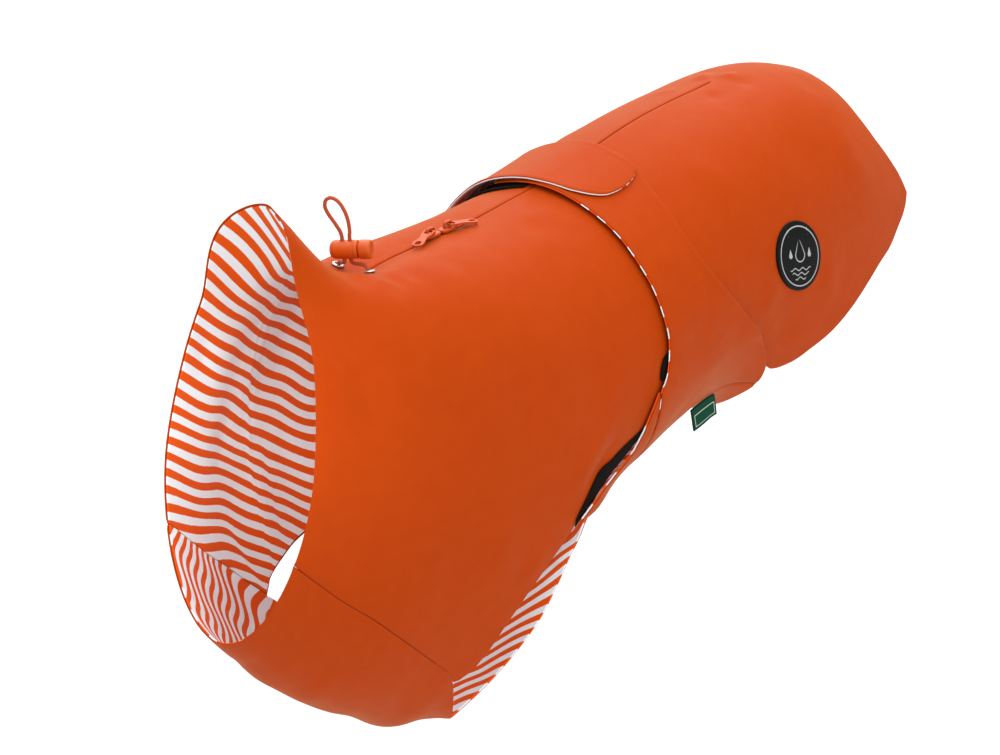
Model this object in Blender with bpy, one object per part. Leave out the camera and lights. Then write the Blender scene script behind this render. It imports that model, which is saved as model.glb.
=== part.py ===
"""Dog raincoat, worn shape without the dog.

Frame: metres, +Z up, head towards -Y, rump towards +Y, the dog's left side at +X.
The origin is the point of the wearer's back that carries the coat, on the centre back.
All tables below are in millimetres and read in named columns.

The cloth follows one body form: a row of slanted rings from the collar edge to the rump.
A place on the form is (station, girth): the station is the Y of the ring's top point and the
girth runs from 0 on the centre back to 1 on the centre of the chest or belly, + on the left.
Every piece of cloth is a patch of that form, moved outwards by its layer.
"""
import math

import bmesh
import bpy
import numpy as np

for old in list(bpy.data.objects):
    bpy.data.objects.remove(old, do_unlink=True)

MM = 0.001
CLOTH = 1.2          # outer cloth, a bonded rain fabric
LINING = 1.0
GAP = 0.3            # between two layers, and along a seam
LAYER = CLOTH + GAP

# ---------------------------------------------------------------- body form
# station  top_z  low_y  low_z  half_width  widest  upper  lower
RINGS = np.array([
    (-266,  57, -347, -201,  64, .59, 1.7, 1.85),   # collar edge
    (-236,  13, -318, -238,  73, .55, 2.3, 1.7),
    (-206,   0, -285, -270,  86, .50, 2.4, 1.7),   # neck base
    (-160,  -4, -234, -306,  98, .44, 2.4, 1.7),   # shoulders
    (-110,  -7, -176, -326, 104, .41, 2.3, 1.8),   # deepest chest
    ( -60,  -6,  -84, -214, 104.5, .535, 2.05, 2.4),
    ( -20,  -4,  -28, -197, 103, .515, 1.95, 2.35),   # front of the belly band
    (  20,   1,   16, -194, 101, .49, 1.95, 2.1),
    (  80,  10,   76, -191, 100, .48, 2.05, 2.05),
    ( 150,  14,  150, -228,  99, .43, 2.2, 2.2),
    ( 230,  13,  232, -262,  94, .40, 2.1, 2.5),
    ( 290,  -8,  300, -272,  84, .38, 1.9, 2.5),   # behind the rump
], float)
# depth of the gutter along the zip: the drawcord pulls the neck base in
# station  depth
GUTTER = np.array([(-266, 0), (-225, 3), (-198, 8), (-175, 6), (-150, 4), (-130, 2),
                   (-100, 1.5), (-60, 0), (290, 0)], float)
GUTTER_GIRTH = .045


def smooth_rows(x, table):
    """Cubic Hermite curve through the rows of a table, with the mean slope at each row."""
    xs, ys = table[:, 0], table[:, 1:]
    x = np.clip(np.asarray(x, float), xs[0], xs[-1])
    h = np.diff(xs)[:, None]
    d = np.diff(ys, axis=0) / h
    m = np.vstack([d[:1], (d[:-1] * h[1:] + d[1:] * h[:-1]) / (h[1:] + h[:-1]), d[-1:]])
    k = np.clip(np.searchsorted(xs, x) - 1, 0, len(xs) - 2)
    hk = (xs[k + 1] - xs[k])[..., None]
    t = ((x - xs[k]) / (xs[k + 1] - xs[k]))[..., None]
    return ((2 * t**3 - 3 * t**2 + 1) * ys[k] + (t**3 - 2 * t**2 + t) * hk * m[k]
            + (3 * t**2 - 2 * t**3) * ys[k + 1] + (t**3 - t**2) * hk * m[k + 1])


def edge(x, table):
    """Monotone cubic through a two-column table: an edge line with no overshoot."""
    t = np.array(table, float)
    xs, ys = t[:, 0], t[:, 1]
    x = np.clip(np.asarray(x, float), xs[0], xs[-1])
    h = np.diff(xs)
    d = np.diff(ys) / h
    m = np.zeros(len(xs))
    m[0], m[-1] = d[0], d[-1]
    for i in range(1, len(xs) - 1):
        if d[i - 1] * d[i] > 0:
            m[i] = 2 * d[i - 1] * d[i] / (d[i - 1] + d[i])
    k = np.clip(np.searchsorted(xs, x) - 1, 0, len(xs) - 2)
    s = (x - xs[k]) / h[k]
    return ((2 * s**3 - 3 * s**2 + 1) * ys[k] + (s**3 - 2 * s**2 + s) * h[k] * m[k]
            + (3 * s**2 - 2 * s**3) * ys[k + 1] + (s**3 - s**2) * h[k] * m[k + 1])


ANGLE = np.linspace(0, math.pi, 181)


def form(station, girth):
    """Point of the body form.

    A ring is two half superellipses joined at its widest level; the girth is the share of its
    half length, so equal steps of girth are equal lengths of cloth.
    """
    s, g = np.broadcast_arrays(np.asarray(station, float), np.asarray(girth, float))
    shape = s.shape
    s, g = s.ravel(), g.ravel()
    top_z, low_y, low_z, half, widest, upper, lower = smooth_rows(s, RINGS).T[:, :, None]
    over = ANGLE[None] <= math.pi / 2
    power = np.where(over, 2 / upper, 2 / lower)
    c = np.abs(np.cos(ANGLE))[None] ** power
    depth = np.where(over, widest * (1 - c), widest + (1 - widest) * c)
    x = half * np.abs(np.sin(ANGLE))[None] ** power
    drop = np.hypot(low_y - s[:, None], low_z - top_z)
    step = np.hypot(np.diff(x, axis=1), np.diff(depth, axis=1) * drop)
    length = np.concatenate([np.zeros((len(s), 1)), np.cumsum(step, axis=1)], axis=1)
    want = np.abs(g) * length[:, -1]
    xi = np.array([np.interp(w, l, a) for w, l, a in zip(want, length, x)])
    di = np.array([np.interp(w, l, a) for w, l, a in zip(want, length, depth)])
    y = s + (low_y[:, 0] - s) * di
    z = top_z[:, 0] + (low_z[:, 0] - top_z[:, 0]) * di
    z = z - smooth_rows(s, GUTTER)[:, 0] * np.exp(-(g / GUTTER_GIRTH) ** 2)
    return np.stack([np.sign(g) * xi, y, z], -1).reshape(*shape, 3)


def outward(station, girth):
    """Unit normal of the form, pointing away from the dog."""
    s, g = np.broadcast_arrays(np.asarray(station, float), np.asarray(girth, float))
    a = form(np.clip(s + .5, -266, 290), g) - form(np.clip(s - .5, -266, 290), g)
    ga, gb = np.clip(g - .003, -1, 1), np.clip(g + .003, -1, 1)
    b = form(s, gb) - form(s, ga)
    n = np.cross(b, a)
    return n / np.linalg.norm(n, axis=-1, keepdims=True)


def on_form(station, girth, lift):
    """Point of the form moved outwards by lift."""
    return form(station, girth) + outward(station, girth) * np.asarray(lift, float)[..., None]


# ------------------------------------------------------------- mesh builders
def material(name, colour, roughness, metallic=0.0):
    m = bpy.data.materials.new(name)
    m.use_nodes = True
    p = m.node_tree.nodes["Principled BSDF"]
    p.inputs["Base Color"].default_value = (*colour, 1)
    p.inputs["Roughness"].default_value = roughness
    p.inputs["Metallic"].default_value = metallic
    return m


ORANGE = material("rain_cloth", (.80, .16, .035), .55)
STRIPE = material("striped_lining", (.82, .80, .78), .8)
BLACK = material("fastening_tape", (.01, .01, .012), .9)
PLASTIC = material("orange_plastic", (.82, .17, .04), .4)
METAL = material("eyelet_metal", (.62, .62, .6), .3, 1.0)
CORD = material("cord", (.80, .17, .04), .7)
RUBBER = material("badge_rubber", (.015, .02, .018), .6)
LABEL = material("label_cloth", (.01, .12, .07), .8)


def solid(name, verts, faces, mat, smooth=True):
    mesh = bpy.data.meshes.new(name)
    mesh.from_pydata([tuple(v) for v in np.asarray(verts) * MM], [], faces)
    mesh.update()
    b = bmesh.new()
    b.from_mesh(mesh)
    bmesh.ops.recalc_face_normals(b, faces=b.faces)
    b.to_mesh(mesh)
    b.free()
    if smooth:
        mesh.shade_smooth()
        mesh.set_sharp_from_angle(angle=math.radians(40))
    ob = bpy.data.objects.new(name, mesh)
    bpy.context.collection.objects.link(ob)
    ob.data.materials.append(mat)
    return ob


def cloth(name, base, normal, low, high, mat, keep=None):
    """Closed sheet: a grid of points moved along its normals by low and by high.

    keep(row, col) says which cells are cloth. A cell is split along its outer diagonal, judged
    on the base grid, so that two layers over the same grid are split alike.
    """
    rows, cols = base.shape[:2]
    low, high = (np.broadcast_to(np.asarray(v, float), (rows, cols))[..., None] for v in (low, high))
    sides = (base + normal * low, base + normal * high)
    kept = np.ones((rows - 1, cols - 1), bool) if keep is None else keep
    index, verts, faces = {}, [], []

    def vert(side, i, j):
        key = (side, i, j)
        if key not in index:
            index[key] = len(verts)
            verts.append(sides[side][i, j])
        return index[key]

    for i in range(rows - 1):
        for j in range(cols - 1):
            if not kept[i, j]:
                continue
            ring = [(i, j), (i, j + 1), (i + 1, j + 1), (i + 1, j)]
            a, b, c, d = (base[p] for p in ring)
            o = ring if (a + c - b - d) @ (normal[i, j] + normal[i + 1, j + 1]) >= 0 else ring[1:] + ring[:1]
            for tri in ((o[0], o[1], o[2]), (o[0], o[2], o[3])):
                faces.append([vert(1, *p) for p in tri])
                faces.append([vert(0, *p) for p in reversed(tri)])
            for (p, q), (di, dj) in zip(zip(ring, ring[1:] + ring[:1]), ((-1, 0), (0, 1), (1, 0), (0, -1))):
                ni, nj = i + di, j + dj
                if not (0 <= ni < rows - 1 and 0 <= nj < cols - 1 and kept[ni, nj]):
                    faces.append([vert(1, *q), vert(1, *p), vert(0, *p), vert(0, *q)])
    return solid(name, verts, faces, mat)


def layer(name, stations, girths, low, thick, mat, keep=None):
    """Sheet on the form between the lifts low and low + thick."""
    return cloth(name, form(stations, girths), outward(stations, girths), low, low + thick, mat, keep)


def normals_of(grid):
    a, b = np.gradient(grid, axis=0), np.gradient(grid, axis=1)
    n = np.cross(b, a)
    return n / np.linalg.norm(n, axis=-1, keepdims=True)


# ------------------------------------------------------------ coat shell
# girth of the shell's lower edge: chest seam, leg hole, flank hem
# station  girth
SHELL_EDGE = [(-266, .722), (-242, .717), (-224, .720), (-197, .743), (-165, .785), (-142, .820),
              (-132, .777), (-125, .702), (-115, .649), (-102, .619), (-89, .616), (-71, .646),
              (-54, .666), (-40, .647), (-18, .625), (10, .628), (67, .648), (109, .697),
              (122, .724), (138, .704), (155, .670), (175, .633), (196, .587), (221, .530),
              (235, .500), (251, .470), (265, .430), (278, .390), (285, .357)]
# The coat lies a little askew: its right leg hole is open further forward than its left one.
# station  girth
RIGHT_LEG = [(-188, .80), (-181, .735), (-173, .711), (-160, .684), (-148, .661), (-136, .643), (-120, .628),
             (-105, .618), (-89, .616), (-70, .9)]
# station of the rear edge over the rump
# girth  station
REAR_EDGE = [(0, 262), (.10, 258), (.18, 258), (.233, 262), (.287, 272), (.320, 279), (.357, 285)]
REAR_START = 170
ZIP_FRONT, ZIP_REAR = -186, 170
SLIT = .0045         # half width of the zip slit, as girth (about 1.6 mm)

shell_rows = np.array([-266, -250, -234, -219, -209, -202, -195, ZIP_FRONT, -165, -142, -132, -120, -105, -89,
                       -71, -54, -36, -16, 10, 40, 70, 100, 122, 145, ZIP_REAR, 194, 218, 240, 258, 273,
                       285], float)
near_back = np.array([SLIT, .020, .0385, .057, .090])
spread = np.array([.10, .20, .31, .43, .58, .78, 1])


def shell_grid():
    """Rows of stations by columns of girth; the last rows bend to the rear edge."""
    left = edge(shell_rows, SHELL_EDGE)
    halves = []
    for low in (np.minimum(left, edge(shell_rows, RIGHT_LEG)), left):
        halves.append(np.concatenate([np.broadcast_to(near_back, (len(low), 5)),
                                      near_back[-1] + (low[:, None] - near_back[-1]) * spread], axis=1))
    g = np.concatenate([-halves[0][:, ::-1], halves[1]], axis=1)
    s = np.broadcast_to(shell_rows[:, None], g.shape).copy()
    share = edge(np.abs(g[-1]), REAR_EDGE)
    bend = np.clip((s - REAR_START) / (285 - REAR_START), 0, None)
    s = np.where(s > REAR_START, REAR_START + bend * (share[None] - REAR_START), s)
    return s, g


shell_s, shell_g = shell_grid()
slit = np.ones((len(shell_rows) - 1, shell_g.shape[1] - 1), bool)
middle = shell_g.shape[1] // 2 - 1
in_zip = (shell_rows[:-1] >= ZIP_FRONT) & (shell_rows[1:] <= ZIP_REAR)
slit[in_zip, middle] = False
layer("body_shell", shell_s, shell_g, 0, CLOTH, ORANGE, slit)
layer("body_lining", shell_s, shell_g, -GAP - LINING, LINING, STRIPE)

# ---------------------------------------------------- chest panel and bib
# A: rows on the form below the shell's chest seam. B: the flat strip between the forelegs,
# by its edge and its middle. C: rows on the lifted form that flare to the belly band.
SEAM = .0013          # seam gap as girth
CHEST_ROWS = shell_rows[shell_rows <= -142]
# edge_x  edge_y  edge_z  mid_y  mid_z
BIB = np.array([
    (40, -190, -309, -196, -322),
    (29, -182, -322, -183, -326),
    (35, -168, -314, -169, -320),
    (41, -149, -303, -152, -310),
    (46, -127, -289, -133, -298),
    (51, -109, -273, -117, -284),
    (58, -97, -251, -104, -270),
    (67, -94, -231, -94, -256),
    (78, -96, -214, -85, -243),
    (91, -99, -191, -77, -231),
], float)
# mid_station  edge_station  edge_girth
FLARE = np.array([
    (-46, -78, .624),
    (-44, -69.5, .641),
    (-42, -59.5, .662),
    (-39, -50, .664),
    (-36, -43.5, .642),
    (-33, -37, .590),
    (-30.1, -30.1, .560),
], float)
TAPE_LIFT = LAYER + .3
BAND_LIFT = TAPE_LIFT + LINING + .6 + LINING + GAP      # wing cloth above its lining, tape and shell
# share of the half width; the inner ones meet the belly panel's columns at the band's seam
ACROSS = np.array([0, .182, .364, .545, .72, .87, 1])
ACROSS = np.concatenate([-ACROSS[:0:-1], ACROSS])


def chest_grid():
    """Base surface of the chest panel and the outward normals on it."""
    parts, normals = [], []
    q = ACROSS[None] * (1 - edge(CHEST_ROWS, SHELL_EDGE) - SEAM)[:, None]
    g = np.where(q < 0, -1, 1) * (1 - np.abs(q))
    s = np.broadcast_to(CHEST_ROWS[:, None], q.shape)
    parts.append(form(s, g))
    normals.append(outward(s, g))
    ex, ey, ez, my, mz = BIB.T[:, :, None]
    rise = np.abs(ACROSS)[None] ** 2
    parts.append(np.stack([ACROSS[None] * ex, my + (ey - my) * rise, mz + (ez - mz) * rise], -1))
    mid, end, ge = FLARE.T[:, :, None]
    q = ACROSS[None] * (1 - ge)
    s = mid + (end - mid) * np.abs(ACROSS)[None] ** 2.5
    g = np.where(q < 0, -1, 1) * (1 - np.abs(q))
    parts.append(on_form(s, g, np.full(g.shape, BAND_LIFT)))
    grid = np.concatenate(parts)
    n = -normals_of(grid)
    n[:len(CHEST_ROWS)] = normals[0]
    n[-len(FLARE):] = outward(s, g)
    first, last = len(CHEST_ROWS), len(n) - len(FLARE)
    for _ in range(3):                   # ease the normals over the fold between the parts
        n[first:last] = n[first - 1:last - 1] + 2 * n[first:last] + n[first + 1:last + 1]
        n /= np.linalg.norm(n, axis=-1, keepdims=True)
    return grid, n


chest, chest_n = chest_grid()
cloth("chest_panel", chest, chest_n, 0, CLOTH, ORANGE)
cloth("chest_lining", chest, chest_n, -GAP - LINING, -GAP, STRIPE)

# ------------------------------------------------------------ belly band
BAND_FRONT = -29.8     # seam with the chest panel
WING_SEAM = .76        # girth of the seam between a wing and the belly panel
# girth  station, left side
LEFT_FRONT = [(-.11, -24), (0, -28), (.10, -26), (.20, -24), (.279, -23), (.443, -20.7), (.495, -21.7),
              (.524, -23.3), (.541, -25.5), (.560, BAND_FRONT), (1, BAND_FRONT)]
LEFT_REAR = [(-.11, 30), (.05, 34), (.13, 34), (.16, 30), (.21, 26), (.298, 24.5), (.362, 28),
             (.444, 41), (.526, 61), (.622, 90), (.716, 111), (.75, 113), (.82, 107), (1, 99)]
# girth  station, right side, the girth counted from the right flank over the back
RIGHT_FRONT = [(-1, BAND_FRONT), (-.560, BAND_FRONT), (-.52, -27), (-.44, -25), (-.20, -28),
               (-.10, -29), (0, -28), (.05, -25), (.083, -23), (.107, -19), (.130, -13),
               (.147, -5), (.153, 4)]
RIGHT_REAR = [(-1, 99), (-.82, 107), (-.75, 113), (-.716, 111), (-.622, 90), (-.526, 61), (-.444, 41), (-.36, 31),
              (-.20, 32), (0, 33), (.10, 33), (.130, 31), (.143, 26), (.150, 20), (.153, 14)]


def band_grid(girths, front, rear, rows):
    """Cells between a front and a rear edge line, in equal shares of the width."""
    g = np.broadcast_to(girths, (rows, len(girths)))
    a, b = edge(girths, front), edge(girths, rear)
    t = np.linspace(0, 1, rows)[:, None]
    return a + (b - a) * t, g.copy()


belly_q = np.linspace(-1, 1, 7) * (1 - WING_SEAM - SEAM / 2)
belly_g = np.where(belly_q < 0, -1, 1) * (1 - np.abs(belly_q))
t = np.linspace(0, 1, 8)[:, None]
belly_s = BAND_FRONT + (edge(np.abs(belly_g), LEFT_REAR) - BAND_FRONT) * t
belly_g = np.broadcast_to(belly_g, belly_s.shape)
layer("belly_panel", belly_s, belly_g, BAND_LIFT, CLOTH, ORANGE)
layer("belly_lining", belly_s, belly_g, BAND_LIFT - GAP - LINING, LINING, STRIPE)

left_girths = np.array([-.11, -.07, -.035, 0, .035, .07, .10, .14, .18, .22, .26, .30, .34, .385, .43,
                        .475, .52, .560, .61, .66, .71, WING_SEAM - SEAM / 2])
s, g = band_grid(left_girths, LEFT_FRONT, LEFT_REAR, 8)
layer("left_wing", s, g, BAND_LIFT, CLOTH, ORANGE)
layer("left_wing_lining", s, g, BAND_LIFT - GAP - LINING, LINING, STRIPE)

# the right wing climbs over the left one near the centre back
TAB_LIFT = BAND_LIFT + CLOTH + .55 + LINING + GAP
right_girths = np.array([-WING_SEAM + SEAM / 2, -.71, -.66, -.61, -.56, -.52, -.475, -.43, -.385, -.34, -.30,
                         -.26, -.22, -.18, -.14, -.10, -.07, -.035, 0, .03, .055, .083, .107, .125,
                         .14, .149, .153])
s, g = band_grid(right_girths, RIGHT_FRONT, RIGHT_REAR, 8)
climb = np.clip((g + .34) / .20, 0, 1)
lift = BAND_LIFT + (TAB_LIFT - BAND_LIFT) * climb**2 * (3 - 2 * climb)
layer("right_wing", s, g, lift, CLOTH, ORANGE)
layer("right_wing_lining", s, g, lift - GAP - LINING, LINING, STRIPE)

# ------------------------------------------------------- fastening tapes
# on the shell, just under the wings: they peek out in front of the wings' edges
back_g = np.array([-.17, -.13, -.10, -.07, -.035, -.012])
back_s, back_g = band_grid(back_g, [(-.17, -35), (-.10, -35), (-.012, -31)], [(-.17, 20), (-.012, 20)], 5)
layer("back_tape", back_s, back_g, TAPE_LIFT, LINING, BLACK)
# station  upper girth  lower girth
TAPE = np.array([(-76, .584, .630), (-66, .606, .643), (-55, .619, .655), (-43, .624, .643),
                 (-29, .610, .630), (-14, .592, .616)])
tape_s = np.repeat(TAPE[:, :1], 3, axis=1)
tape_g = TAPE[:, 1:2] + (TAPE[:, 2:] - TAPE[:, 1:2]) * np.array([[0, .5, 1]])
layer("left_tape", tape_s, tape_g, TAPE_LIFT, LINING, BLACK)
layer("right_tape", tape_s, -tape_g, TAPE_LIFT, LINING, BLACK)

# ------------------------------------------------------------- zip chain
chain_s = np.array([ZIP_FRONT + .5] + [r for r in shell_rows if ZIP_FRONT < r < ZIP_REAR] + [ZIP_REAR - .5])
chain_s, chain_g = np.broadcast_arrays(chain_s[:, None], np.array([-.0036, 0, .0036])[None])
layer("zip_chain", chain_s, chain_g, .1, 1.0, BLACK)


# ------------------------------------------------------ sliders and pulls
def block(name, centre, size, mat=None, bevel=0.0, yaw=0.0, guide=False):
    """Axis-aligned block, sizes in mm, turned by yaw about Z."""
    x, y, z = (v / 2 for v in size)
    v = [(i * x, j * y, k * z) for i in (-1, 1) for j in (-1, 1) for k in (-1, 1)]
    f = [(0, 1, 3, 2), (4, 6, 7, 5), (0, 4, 5, 1), (2, 3, 7, 6), (0, 2, 6, 4), (1, 5, 7, 3)]
    ob = solid(name, v, f, mat or PLASTIC, smooth=False)
    ob.location = [c * MM for c in centre]
    ob.rotation_euler = (0, 0, yaw)
    if bevel:
        m = ob.modifiers.new("edges", "BEVEL")
        m.width, m.segments = bevel * MM, 1
    if guide:
        ob.hide_render = True
        ob.display_type = "WIRE"
    return ob


def join(ob, other, kind):
    m = ob.modifiers.new(kind.lower(), "BOOLEAN")
    m.operation, m.solver, m.object = kind, "EXACT", other


SLIDER_BODY = (8.0, 14.0, 2.4)
BRIDGE = (2.6, 8.0)              # across, along
PIN_UP = 1.9                     # pin above the slider's body
WINDOW = (5.0, 3.3)              # along, up
PULL_THICK, PULL_PITCH = 1.4, math.radians(8.0)
# along from the pin  half width
PULL_SHAPE = [(-.7, 3.6), (.7, 3.9), (5.2, 3.9), (6.8, 3.4), (11.0, 2.9), (15.5, 3.3), (17.0, 3.5),
              (20.4, 3.3), (22.0, 2.0)]
PULL_EYE, PULL_HOLE = 2.6, 1.4   # half widths of the hinge window and of the end hole
# name  station  pull direction along Y  yaw in degrees towards the left side
SLIDERS = [("front", -127.5, -1, 16), ("rear", -111, 1, 18)]


def slider(name, station, way):
    base = on_form(station, 0.0, np.array(LAYER + .5))
    top = base[2] + SLIDER_BODY[2]
    body = block(f"zip_slider_{name}", (0, base[1] - way * .5, base[2] + SLIDER_BODY[2] / 2), SLIDER_BODY, bevel=.6)
    bridge = block(f"guide_bridge_{name}", (0, base[1], top - .4 + 2.5), (BRIDGE[0], BRIDGE[1], 5.0), guide=True)
    window = block(f"guide_window_{name}", (0, base[1], top + PIN_UP - .25), (9, WINDOW[0], WINDOW[1]), guide=True)
    join(body, bridge, "UNION")
    join(body, window, "DIFFERENCE")
    return np.array([0, base[1], top + PIN_UP])


def pull_points(pin, way, yaw, pitch):
    """Corners of the pull plate: along the pull, across it, and below or above its middle."""
    along = np.array([math.sin(yaw), way * math.cos(yaw), 0.0])
    across = np.array([along[1], -along[0], 0.0])
    down = along * math.cos(pitch) + np.array([0, 0, -math.sin(pitch)])
    up = np.cross(across, down)
    up = up * np.sign(up[2])
    rows = []
    for a, half in PULL_SHAPE:
        inner = PULL_EYE if a < 6 else PULL_HOLE
        rows.append([pin + down * a + across * w for w in (-half, -inner, 0, inner, half)])
    return np.array(rows), up


for name, station, way, yaw in SLIDERS:
    pin = slider(name, station, way)
    yaw = math.radians(yaw)
    grid, up = pull_points(pin, way, yaw, PULL_PITCH)
    keep = np.ones((len(PULL_SHAPE) - 1, 4), bool)
    keep[1, 1:3] = False                 # hinge window round the slider's bridge
    keep[6, 1:3] = False                 # hole at the free end
    hinge = bpy.data.objects.new(f"hinge_{name}", None)
    hinge.location = pin * MM
    bpy.context.collection.objects.link(hinge)
    pull = cloth(f"zip_pull_{name}", grid - pin, np.broadcast_to(up, grid.shape), -PULL_THICK / 2,
                 PULL_THICK / 2, PLASTIC, keep)
    pull.parent = hinge

# ------------------------------------------------- eyelets, cord, cord lock
EYELET_STATION, EYELET_GIRTH = -199, .0385
EYELET_OUT, EYELET_IN, EYELET_HIGH, EYELET_LIFT = 4.6, 2.3, 1.0, 2.3


def frame_at(station, girth):
    n = outward(station, girth)
    a = form(station + 1.0, girth) - form(station - 1.0, girth)
    a = a - n * (a @ n)
    a = a / np.linalg.norm(a)
    return form(station, girth), a, np.cross(n, a), n


eye_points = {}
for side, name in ((1, "left"), (-1, "right")):
    p, a, b, n = frame_at(EYELET_STATION, side * EYELET_GIRTH)
    turn = np.linspace(0, 2 * math.pi, 16, endpoint=False)
    # radius  height above the middle
    profile = [(EYELET_IN, .0), (EYELET_IN + .5, EYELET_HIGH), (EYELET_OUT - .9, EYELET_HIGH), (EYELET_OUT, .0)]
    ring = np.array([[p + n * (EYELET_LIFT + h) + (a * math.cos(w) + b * math.sin(w)) * r for r, h in profile]
                     for w in turn])
    k = len(profile)
    faces = [[i * k + j, i * k + (j + 1) % k, ((i + 1) % 16) * k + (j + 1) % k, ((i + 1) % 16) * k + j]
             for i in range(16) for j in range(k)]
    solid(f"eyelet_{name}", ring.reshape(-1, 3), faces, METAL)
    eye_points[name] = p + n * (CLOTH + .55)        # the cord ends in the eyelet's mouth
    eye_points[name + "_n"] = n

LOCK_MIDDLE = np.array([1.0, -200.0, 9.0])
LOCK_TURN = math.radians(29)
LOCK_RADIUS, LOCK_FROM, LOCK_TO = 6.0, -13.5, 4.6
HOLES = (-5.4, -.4)
CORD_RADIUS, HOLE_RADIUS = 1.25, 1.6
lock_axis = np.array([math.cos(LOCK_TURN), math.sin(LOCK_TURN), 0])
lock_side = np.array([-math.sin(LOCK_TURN), math.cos(LOCK_TURN), 0])


def turned(name, profile, sides, mat):
    """Solid of revolution about the lock's axis; profile of (along, radius)."""
    verts, faces = [], []
    for a, r in profile:
        for k in range(sides):
            w = 2 * math.pi * k / sides
            verts.append(LOCK_MIDDLE + lock_axis * a + lock_side * r * math.cos(w) + np.array([0, 0, r * math.sin(w)]))
    for i in range(len(profile) - 1):
        for k in range(sides):
            n = (k + 1) % sides
            faces.append([i * sides + k, i * sides + n, (i + 1) * sides + n, (i + 1) * sides + k])
    faces.append(list(range(sides)))
    faces.append(list(range((len(profile) - 1) * sides, len(profile) * sides)))
    return solid(name, verts, faces, mat)


lock = turned("cord_lock", [(LOCK_FROM, 2.4), (LOCK_FROM + .8, 4.4), (LOCK_FROM + 2.4, 5.7), (LOCK_FROM + 4.2, LOCK_RADIUS),
                            (LOCK_TO - .6, LOCK_RADIUS), (LOCK_TO, 5.4)], 20, PLASTIC)
turned("cord_lock_button", [(LOCK_TO + .3, 4.6), (LOCK_TO + 3.4, 4.6), (LOCK_TO + 3.9, 6.1), (LOCK_TO + 7.6, 6.1),
                            (LOCK_TO + 8.4, 5.2)], 20, PLASTIC)
for n, at in enumerate(HOLES):
    c = LOCK_MIDDLE + lock_axis * at
    v = [c + np.array([HOLE_RADIUS * math.cos(w), HOLE_RADIUS * math.sin(w), z])
         for z in (-9, 9) for w in np.linspace(0, 2 * math.pi, 12, endpoint=False)]
    f = [[k, (k + 1) % 12, 12 + (k + 1) % 12, 12 + k] for k in range(12)] + [list(range(12)), list(range(12, 24))]
    drill = solid(f"guide_hole_{n}", v, f, PLASTIC, smooth=False)
    drill.hide_render, drill.display_type = True, "WIRE"
    join(lock, drill, "DIFFERENCE")


def through(points, step):
    """Smooth curve through route points, read off every step of its length."""
    p = np.array(points, float)
    q = np.vstack([2 * p[0] - p[1], p, 2 * p[-1] - p[-2]])
    fine = []
    for i in range(1, len(q) - 2):
        t = np.linspace(0, 1, 24, endpoint=False)[:, None]
        fine.append(.5 * (2 * q[i] + (q[i + 1] - q[i - 1]) * t + (2 * q[i - 1] - 5 * q[i] + 4 * q[i + 1] - q[i + 2]) * t**2
                          + (3 * q[i] - q[i - 1] - 3 * q[i + 1] + q[i + 2]) * t**3))
    fine = np.vstack(fine + [p[-1:]])
    length = np.concatenate([[0], np.cumsum(np.linalg.norm(np.diff(fine, axis=0), axis=1))])
    count = max(2, int(round(length[-1] / step)) + 1)
    at = np.linspace(0, length[-1], count)
    return np.stack([np.interp(at, length, fine[:, k]) for k in range(3)], -1)


def hole_point(n, up):
    return LOCK_MIDDLE + lock_axis * HOLES[n] + np.array([0, 0, up])


# the loop above the lock: along the lock's axis, and up, from the lock's middle
LOOP = [(-6.2, 12.0), (-8.8, 17.0), (-12.6, 23.5), (-14.2, 28.5), (-13.0, 32.5), (-9.4, 33.8), (-5.2, 31.2),
        (-2.0, 25.5), (-.3, 19.0), (.1, 12.5)]
route = np.vstack([
    through([eye_points["right"], eye_points["right"] + eye_points["right_n"] * 3.2 + (1.5, -1, 0),
             hole_point(0, -8.5)], 3.2),
    [hole_point(0, z) for z in (-6, -2, 2, 6)],
    through([hole_point(0, 8.5)] + [LOCK_MIDDLE + lock_axis * a + (0, 0, z) for a, z in LOOP] + [hole_point(1, 8.5)], 4.0),
    [hole_point(1, z) for z in (6, 2, -2, -6)],
    through([hole_point(1, -8.5), eye_points["left"] + eye_points["left_n"] * 3.6 + (-3.0, -.5, .6),
             eye_points["left"]], 3.2),
])
curve = bpy.data.curves.new("draw_cord", "CURVE")
curve.dimensions = "3D"
curve.bevel_depth = CORD_RADIUS * MM
curve.bevel_resolution = 2
curve.use_fill_caps = True
spline = curve.splines.new("POLY")
spline.points.add(len(route) - 1)
for point, at in zip(spline.points, route):
    point.co = (*(at * MM), 1)
cord = bpy.data.objects.new("draw_cord", curve)
bpy.context.collection.objects.link(cord)
curve.materials.append(CORD)

# ------------------------------------------------------- badge and label
BADGE_STATION, BADGE_GIRTH, BADGE_RADIUS, BADGE_HIGH = 129.5, .456, 25.0, 1.2
u, v = np.meshgrid(np.linspace(-1, 1, 9), np.linspace(-1, 1, 9))
round_s = u * np.sqrt(1 - v**2 / 2) * BADGE_RADIUS
round_g = v * np.sqrt(1 - u**2 / 2) * BADGE_RADIUS
half_girth = 340.0
layer("badge", BADGE_STATION + round_s.T, BADGE_GIRTH + round_g.T / half_girth, LAYER + .2, BADGE_HIGH, RUBBER)

# folded label in the left belly seam: it hangs straight down from the band's outer face
LABEL_FROM, LABEL_TO, LABEL_LONG, LABEL_THICK = 38, 65, 15.0, 1.2
ls = np.linspace(LABEL_FROM, LABEL_TO, 5)
head = on_form(ls, np.full(5, WING_SEAM), np.full(5, BAND_LIFT + CLOTH + .4))
drop = np.linspace(0, 1, 4)[:, None, None]
hang = head[None] + drop * np.array([1.5, 0, -LABEL_LONG]) + np.array([0, 0, -.5])
cloth("side_label", hang, np.broadcast_to([1.0, 0, 0], hang.shape), 0, LABEL_THICK, LABEL)
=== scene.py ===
import math

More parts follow.
